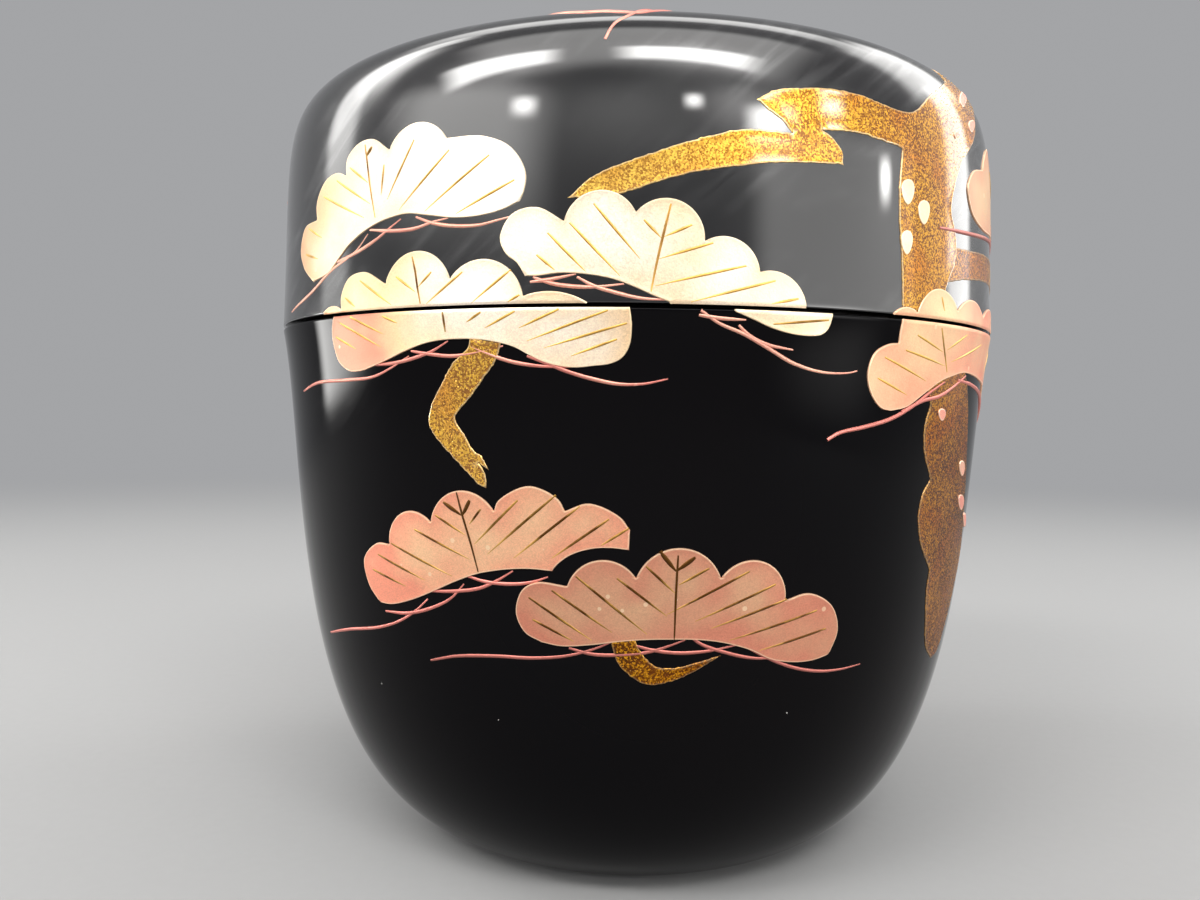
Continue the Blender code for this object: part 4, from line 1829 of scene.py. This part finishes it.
@dataclass
class PinePicture:
    """The picture of the old pine: clusters, veins, twigs, trunk, branches and drops."""

    painter: Painter
    finishes: dict[str, bpy.types.Material]
    needle_relief: Relief = Relief(0.085, 0.115)
    trunk_relief: Relief = Relief(0.055, 0.075, seam_margin=0.34)
    branch_relief: Relief = Relief(0.035, 0.05, seam_margin=0.34)
    drop_relief: Relief = Relief(0.12, 0.13, spacing=0.12, grid=0.2, rings=(0.03, 0.08, 0.15))
    main_vein: Pen = Pen(0.11, 0.03, (0.8, 0.75))
    vein: Pen = Pen(0.11, 0.03, (0.8, 0.6))
    bud: Pen = Pen(0.21, -0.035, (0.8, 0.72))
    twig: Pen = Pen(0.17, -0.095, (0.8, 0.7))
    crown_twig: Pen = Pen(0.17, -0.055, (0.85, 0.62))
    main_vein_darker: float = 0.55
    bud_darker: float = 0.5
    twig_tint: float = 0.3
    line_spacing: float = 0.3
    line_seam_margin: float = 0.26
    line_fills: float = 0.25
    line_thins: float = 0.45
    line_pales: float = 2.0
    wobble: float = 0.018
    wobble_seed: int = 17
    large_drop_px: float = 8.0
    large_drop_tint: float = 0.85
    golden_from: float = 1.2
    lines: dict[tuple[str, Half], list[Line]] = field(default_factory=dict)

    def __post_init__(self) -> None:
        """Gets the maker of its plates ready."""
        self.plates = Plates(self.painter)

    def build(self, clusters: tuple[Cluster, ...], limbs: tuple[Limb, ...]) -> None:
        """Builds the whole picture.

        Args:
            clusters: The needle clusters.
            limbs: The trunk and the branches.
        """
        for cluster in clusters:
            for half in (cluster.half,) if cluster.half else Half:
                self._cluster(cluster, half)
        for limb in limbs:
            self._limb(limb)
        self._keep("twigs", Half.LID, CROWN_FRONT_TWIGS, Drawn.PHOTO, self.crown_twig, self.twig_tint)
        self._drops("drops_upper", LID_DROPS, Half.LID)
        self._drops("drops_lower", BODY_DROPS, Half.BODY)
        for (kind, half), lines in self.lines.items():
            finish, slot = ("vein_lacquer",) * 2 if kind == "veins" else ("twig_powder", "salmon_powder")
            self._draw(f"{kind}_{half.value}", lines, finish, half, slot)

    def _keep(self, kind: str, half: Half, strokes: tuple[Stroke, ...], drawn: Drawn, *look: object) -> None:
        """Keeps strokes, so that all lines of one kind are drawn together.

        Args:
            kind: What they are.
            half: The half that they lie on.
            strokes: The strokes.
            drawn: What they are given in.
            look: The rest of what each Line says.
        """
        for stroke in strokes:
            flat = curve_through(self.painter.flat(stroke, drawn), self.line_spacing)
            self.lines.setdefault((kind, half), []).append(Line(flat, drawn, *look))

    def _cluster(self, cluster: Cluster, half: Half) -> None:
        """Lays the part of a cluster that is on one half, and keeps its lines.

        Args:
            cluster: The cluster.
            half: The half.
        """
        drawn, relief = cluster.drawn, self.needle_relief
        contour = self.painter.contour(cluster.outline, drawn, relief.spacing)
        name = f"needles_{cluster.name}_{half.value}"
        piece = self.plates.build(name, contour, relief, drawn, half, cluster.tint, cluster.painted_light)
        if piece is None:
            return
        golden = 2 * sum(cluster.tint) / len(cluster.tint)
        piece.data.materials.append(self.finishes["needle_powder"])
        hand_over(piece, half, "gold_powder" if golden > self.golden_from else "salmon_powder")
        # The cluster's painted light and shade, passed on to its lines
        painted_light, tint = sum(cluster.painted_light) / len(cluster.painted_light), cluster.golden
        for strokes, pen, shade in (
            (cluster.veins[:1], self.main_vein, tint - self.main_vein_darker),
            (cluster.veins[1:], self.vein, tint),
            (cluster.buds, self.bud, tint - self.bud_darker),
        ):
            self._keep("veins", half, strokes, drawn, pen, shade, painted_light)
        twig = self.twig._replace(lift=self.twig.lift + cluster.over)
        shade = self.twig_tint * golden - self.twig_tint
        self._keep("twigs", half, cluster.twigs, drawn, twig, shade, painted_light)

    def _limb(self, limb: Limb) -> None:
        """Lays a stretch of trunk or branch, with an edge as uneven as flakes leave it, and sprinkles it.

        Args:
            limb: The stretch.
        """
        half, relief = limb.half, self.branch_relief if limb.low else self.trunk_relief
        contour = self.painter.contour(limb.outline, limb.drawn, relief.spacing)
        hand = np.random.default_rng(len(limb.name) * self.wobble_seed + len(contour))
        contour = contour + hand.normal(0.0, self.wobble, contour.shape)
        name = f"{limb.name}_{half.value}"
        piece = self.plates.build(name, contour, relief, limb.drawn, half, limb.cover, limb.painted_light)
        piece.data.materials.append(self.finishes["coarse_gold"])
        hand_over(piece, half, "gold_powder")
        # The loose flakes are held as dark as the limb's painted shade at its right end
        look = {"Brightest": limb.painted_light[-1] ** 2, "Finish": self.finishes["loose_gold"]}
        flakes = run_tree(f"flakes_{name}", piece.data.copy(), sprinkled_flakes(), **look)
        hand_over(flakes, half, "gold_powder")

    def _drops(self, name: str, drops: tuple[Drop, ...], half: Half) -> None:
        """Lays the drops of one half as one piece.

        Args:
            name: The piece's name.
            drops: The drops.
            half: The half that they lie on.
        """
        whole = bmesh.new()
        for drop in drops:
            contour = self.painter.contour(drop.outline(), Drawn.PHOTO, self.drop_relief.spacing)
            tint = self.large_drop_tint if drop.width > self.large_drop_px else 0.0
            piece = self.plates.build(name, contour, self.drop_relief, Drawn.PHOTO, half, (tint,))
            whole.from_mesh(piece.data)
            bpy.data.objects.remove(piece)
        mesh = bpy.data.meshes.new(name)
        whole.to_mesh(mesh)
        whole.free()
        mesh.materials.append(self.finishes["drop_powder"])
        hand_over(into_scene(name, mesh), half, "salmon_powder")

    def _draw(self, name: str, lines: list[Line], finish: str, half: Half, slot: str) -> None:
        """Draws many lines as one piece.

        Args:
            name: The piece's name.
            lines: The lines.
            finish: Their material.
            half: The half that they lie on.
            slot: The record's material slot.
        """
        points, edges, values, first = [], [], [], 0
        for line in lines:
            for run in self._on_half(line, half):
                share = np.linspace(0.0, 1.0, len(run))
                start, end = line.pen.taper
                shape = np.minimum(
                    start + (1 - start) * np.clip(share / self.line_fills, 0, 1),
                    end + (1 - end) * np.clip((1 - share) / self.line_thins, 0, 1),
                )
                edges += [(first + i, first + i + 1) for i in range(len(run) - 1)]
                first += len(run)
                points.append(self.painter.lay(run, line.pen.lift, line.drawn))
                looks = np.full((len(run), 2), (line.tint, line.painted_light))
                thin = (1.0 - shape) * self.line_pales
                values.append(np.column_stack([line.pen.reach * shape * MM, thin, looks]))
        mesh = bpy.data.meshes.new(name)
        mesh.from_pydata(np.vstack(points) * MM, edges, [])
        for label, column in zip(("reach", "thin", "tint", "painted_light"), np.vstack(values).T):
            store(mesh, label, column)
        hand_over(run_tree(name, mesh, drawn_line(), Finish=self.finishes[finish]), half, slot)

    def _on_half(self, line: Line, half: Half) -> list[np.ndarray]:
        """The runs of a line that lie on one half.

        Args:
            line: The line.
            half: The half.

        Returns:
            Runs of at least two flat points.
        """
        if line.drawn is Drawn.CROWN:
            return [line.flat] if half is Half.LID else []
        on = line.flat[:, 1] * half.way > self.line_seam_margin
        cuts = np.nonzero(np.diff(on.astype(int)))[0] + 1
        runs = zip(np.split(on, cuts), np.split(line.flat, cuts))
        return [run for good, run in runs if good[0] and len(run) > 1]


@dataclass(frozen=True)
class Lamp:
    """A soft rectangular lamp that faces the caddy, or an upright panel that stands on the floor.

    Angles are in degrees and lengths in metres.
    """

    name: str
    azimuth: float
    elevation: float
    away: float
    size: Point
    brightness: float
    soft: float = 0.8
    upright: bool = False
    colour: Colour = (1.0, 0.99, 0.97)
    roll: float = 0.0

    def place(self, aim: Vector) -> None:
        """Adds the lamp.

        Args:
            aim: The point that it faces.
        """
        data = bpy.data.lights.new(self.name, "AREA")
        data.shape = "RECTANGLE"
        data.size, data.size_y = self.size
        data.energy = self.brightness * math.pi * self.size[0] * self.size[1]
        data.color = self.colour
        self._soften(data)
        turn, rise = math.radians(self.azimuth), math.radians(self.elevation)
        faces = Vector((math.sin(turn), -math.cos(turn), 0.0))
        if self.upright:
            place = faces * self.away + Vector((0.0, 0.0, self.size[1] / 2 + 1 * MM))
        else:
            faces = faces * math.cos(rise) + Vector((0.0, 0.0, math.sin(rise)))
            place = aim + faces * self.away
        light = into_scene(self.name, data)
        facing = faces.to_track_quat("Z", "Y").to_matrix().to_4x4()
        rolled = Matrix.Rotation(math.radians(self.roll), 4, "Z")
        light.matrix_world = Matrix.Translation(place) @ facing @ rolled
        light.visible_camera = False

    def _soften(self, data: bpy.types.AreaLight) -> None:
        """Lets the lamp fade towards its edges, as cloth over a lamp does.

        Args:
            data: The light.
        """
        data.use_nodes = True
        b = TreeBuilder(data.node_tree)
        place = b.add("ShaderNodeNewGeometry").outputs["Parametric"]
        across = b.add("ShaderNodeSeparateXYZ", {0: place}).outputs
        fades = []
        for way in across[:2]:
            inward = {0: b.math("PINGPONG", way, 0.5), 2: 0.5 * self.soft}
            fades.append(b.get("ShaderNodeMapRange", inward, interpolation_type="SMOOTHSTEP"))
        b.feed(b.last("EMISSION"), {"Strength": b.math("MULTIPLY", *fades)})


@dataclass
class Studio:
    """The pale floor, the even light and the lamps. Lengths are in metres."""

    aim: Vector
    floor_radius: float = 3.0
    floor_fades: Point = (0.10, 0.50)
    floor_colour: Colour = (0.26, 0.26, 0.26)
    room: Colour = (0.37, 0.374, 0.385)
    lamps: tuple[Lamp, ...] = (
        Lamp("ceiling_left", -46, 39.5, 0.9, (0.58, 0.20), 15.5, 0.5, roll=24),
        Lamp("ceiling_right", 18, 44.5, 0.9, (0.66, 0.20), 15.5, 0.5, roll=-12),
        Lamp("spot_left", -33, 25, 0.9, (0.17, 0.09), 21, 1.0),
        Lamp("spot_right", 17, 26, 0.9, (0.12, 0.07), 23, 1.0),
        Lamp("spot_side", 78, 16, 0.9, (0.10, 0.08), 23, 1.0),
        Lamp("branch_left", 40, 22.5, 0.9, (0.30, 0.12), 20, 0.8),
        Lamp("branch_right", 60, 25, 0.9, (0.17, 0.09), 20, 0.9),
        Lamp("front_middle", 30, 25, 0.9, (0.44, 0.22), 2.6, 1.0),
        Lamp("front_veil", -4, 24, 0.9, (1.0, 0.30), 1.0, 1.0),
        Lamp("overhead", 0, 58, 0.8, (1.5, 0.68), 2.5, 0.4),
        Lamp("front_left", -52, 23, 0.9, (1.05, 0.36), 3.7, 0.7),
        Lamp("front_right", 62, 0, 0.9, (1.06, 0.42), 1.7, 0.35, True),
        Lamp("arch", 180, 76, 0.75, (1.4, 0.28), 3.6, 0.6),
        Lamp("side_left", -100, 0, 0.45, (0.15, 1.0), 5.0, 0.6, True),
        Lamp("glow_left", -93, 40, 0.5, (0.20, 0.30), 7.0, 0.9),
        Lamp("side_right", 113, 0, 0.5, (0.17, 0.40), 4.3, 0.5, True),
        Lamp("glow_right", 112, 41, 0.5, (0.34, 0.28), 3.9, 0.5),
        Lamp("low_left", -95, 0, 0.45, (0.28, 0.06), 16.0, 0.35, True),
        Lamp("low_right", 55, 0, 0.25, (0.20, 0.07), 6.5, 0.9, True),
    )

    def build(self) -> None:
        """Builds the studio round the caddy."""
        self._floor()
        world = bpy.data.worlds.new("studio_room")
        world.use_nodes = True
        TreeBuilder(world.node_tree).feed(world.node_tree.nodes["Background"], {"Color": self.room})
        bpy.context.scene.world = world
        for lamp in self.lamps:
            lamp.place(self.aim)

    def _floor(self) -> None:
        """Lays a large round floor of pale matt board, whose far part melts into the room."""
        mesh = bmesh.new()
        bmesh.ops.create_circle(mesh, cap_ends=True, segments=96, radius=self.floor_radius)
        data = bpy.data.meshes.new("studio_floor")
        mesh.to_mesh(data)
        mesh.free()
        material, b, shader = principled("pale_board")
        place = b.place()
        paler = tuple(part * 1.05 for part in self.floor_colour)
        board = b.blend(b.noise(place, 900.0, 3.0), self.floor_colour, paler)
        b.feed(shader, {"Base Color": board, "Roughness": 0.85})
        away = b.add("ShaderNodeVectorMath", {0: place}, operation="LENGTH").outputs["Value"]
        fades = {0: away, 1: self.floor_fades[0], 2: self.floor_fades[1]}
        fade = b.get("ShaderNodeMapRange", fades, interpolation_type="SMOOTHSTEP")
        path = b.add("ShaderNodeLightPath").outputs
        bent = b.math("MAXIMUM", path["Is Glossy Ray"], path["Is Transmission Ray"])
        seen = b.math("MAXIMUM", path["Is Camera Ray"], bent)
        air = b.get("ShaderNodeEmission", {"Color": self.room})
        mix = b.get("ShaderNodeMixShader", {0: b.math("MULTIPLY", fade, seen), 1: shader.outputs[0], 2: air})
        b.feed(b.last("OUTPUT_MATERIAL"), {"Surface": mix})
        data.materials.append(material)
        into_scene("studio_floor", data)


def main() -> None:
    """Builds the caddy, its picture and the studio, and reports each piece."""
    logging.basicConfig(level=logging.INFO, format="%(message)s", stream=sys.stdout)
    form, camera = TurnedForm.from_frame(), PhotoCamera()
    finishes = {finish.name: finish.material() for finish in FINISHES}
    TurnedShells(form, finishes).build()
    painter = Painter(camera, Unrolled(form))
    PinePicture(painter, finishes).build(PHOTO_CLUSTERS + HIDDEN_CLUSTERS, PHOTO_LIMBS + HIDDEN_LIMBS)
    Studio(Vector((0.0, 0.0, form.seam * MM))).build()
    camera.place()
    bpy.context.scene.view_settings.view_transform = "Standard"


if __name__ == "__main__":
    main()
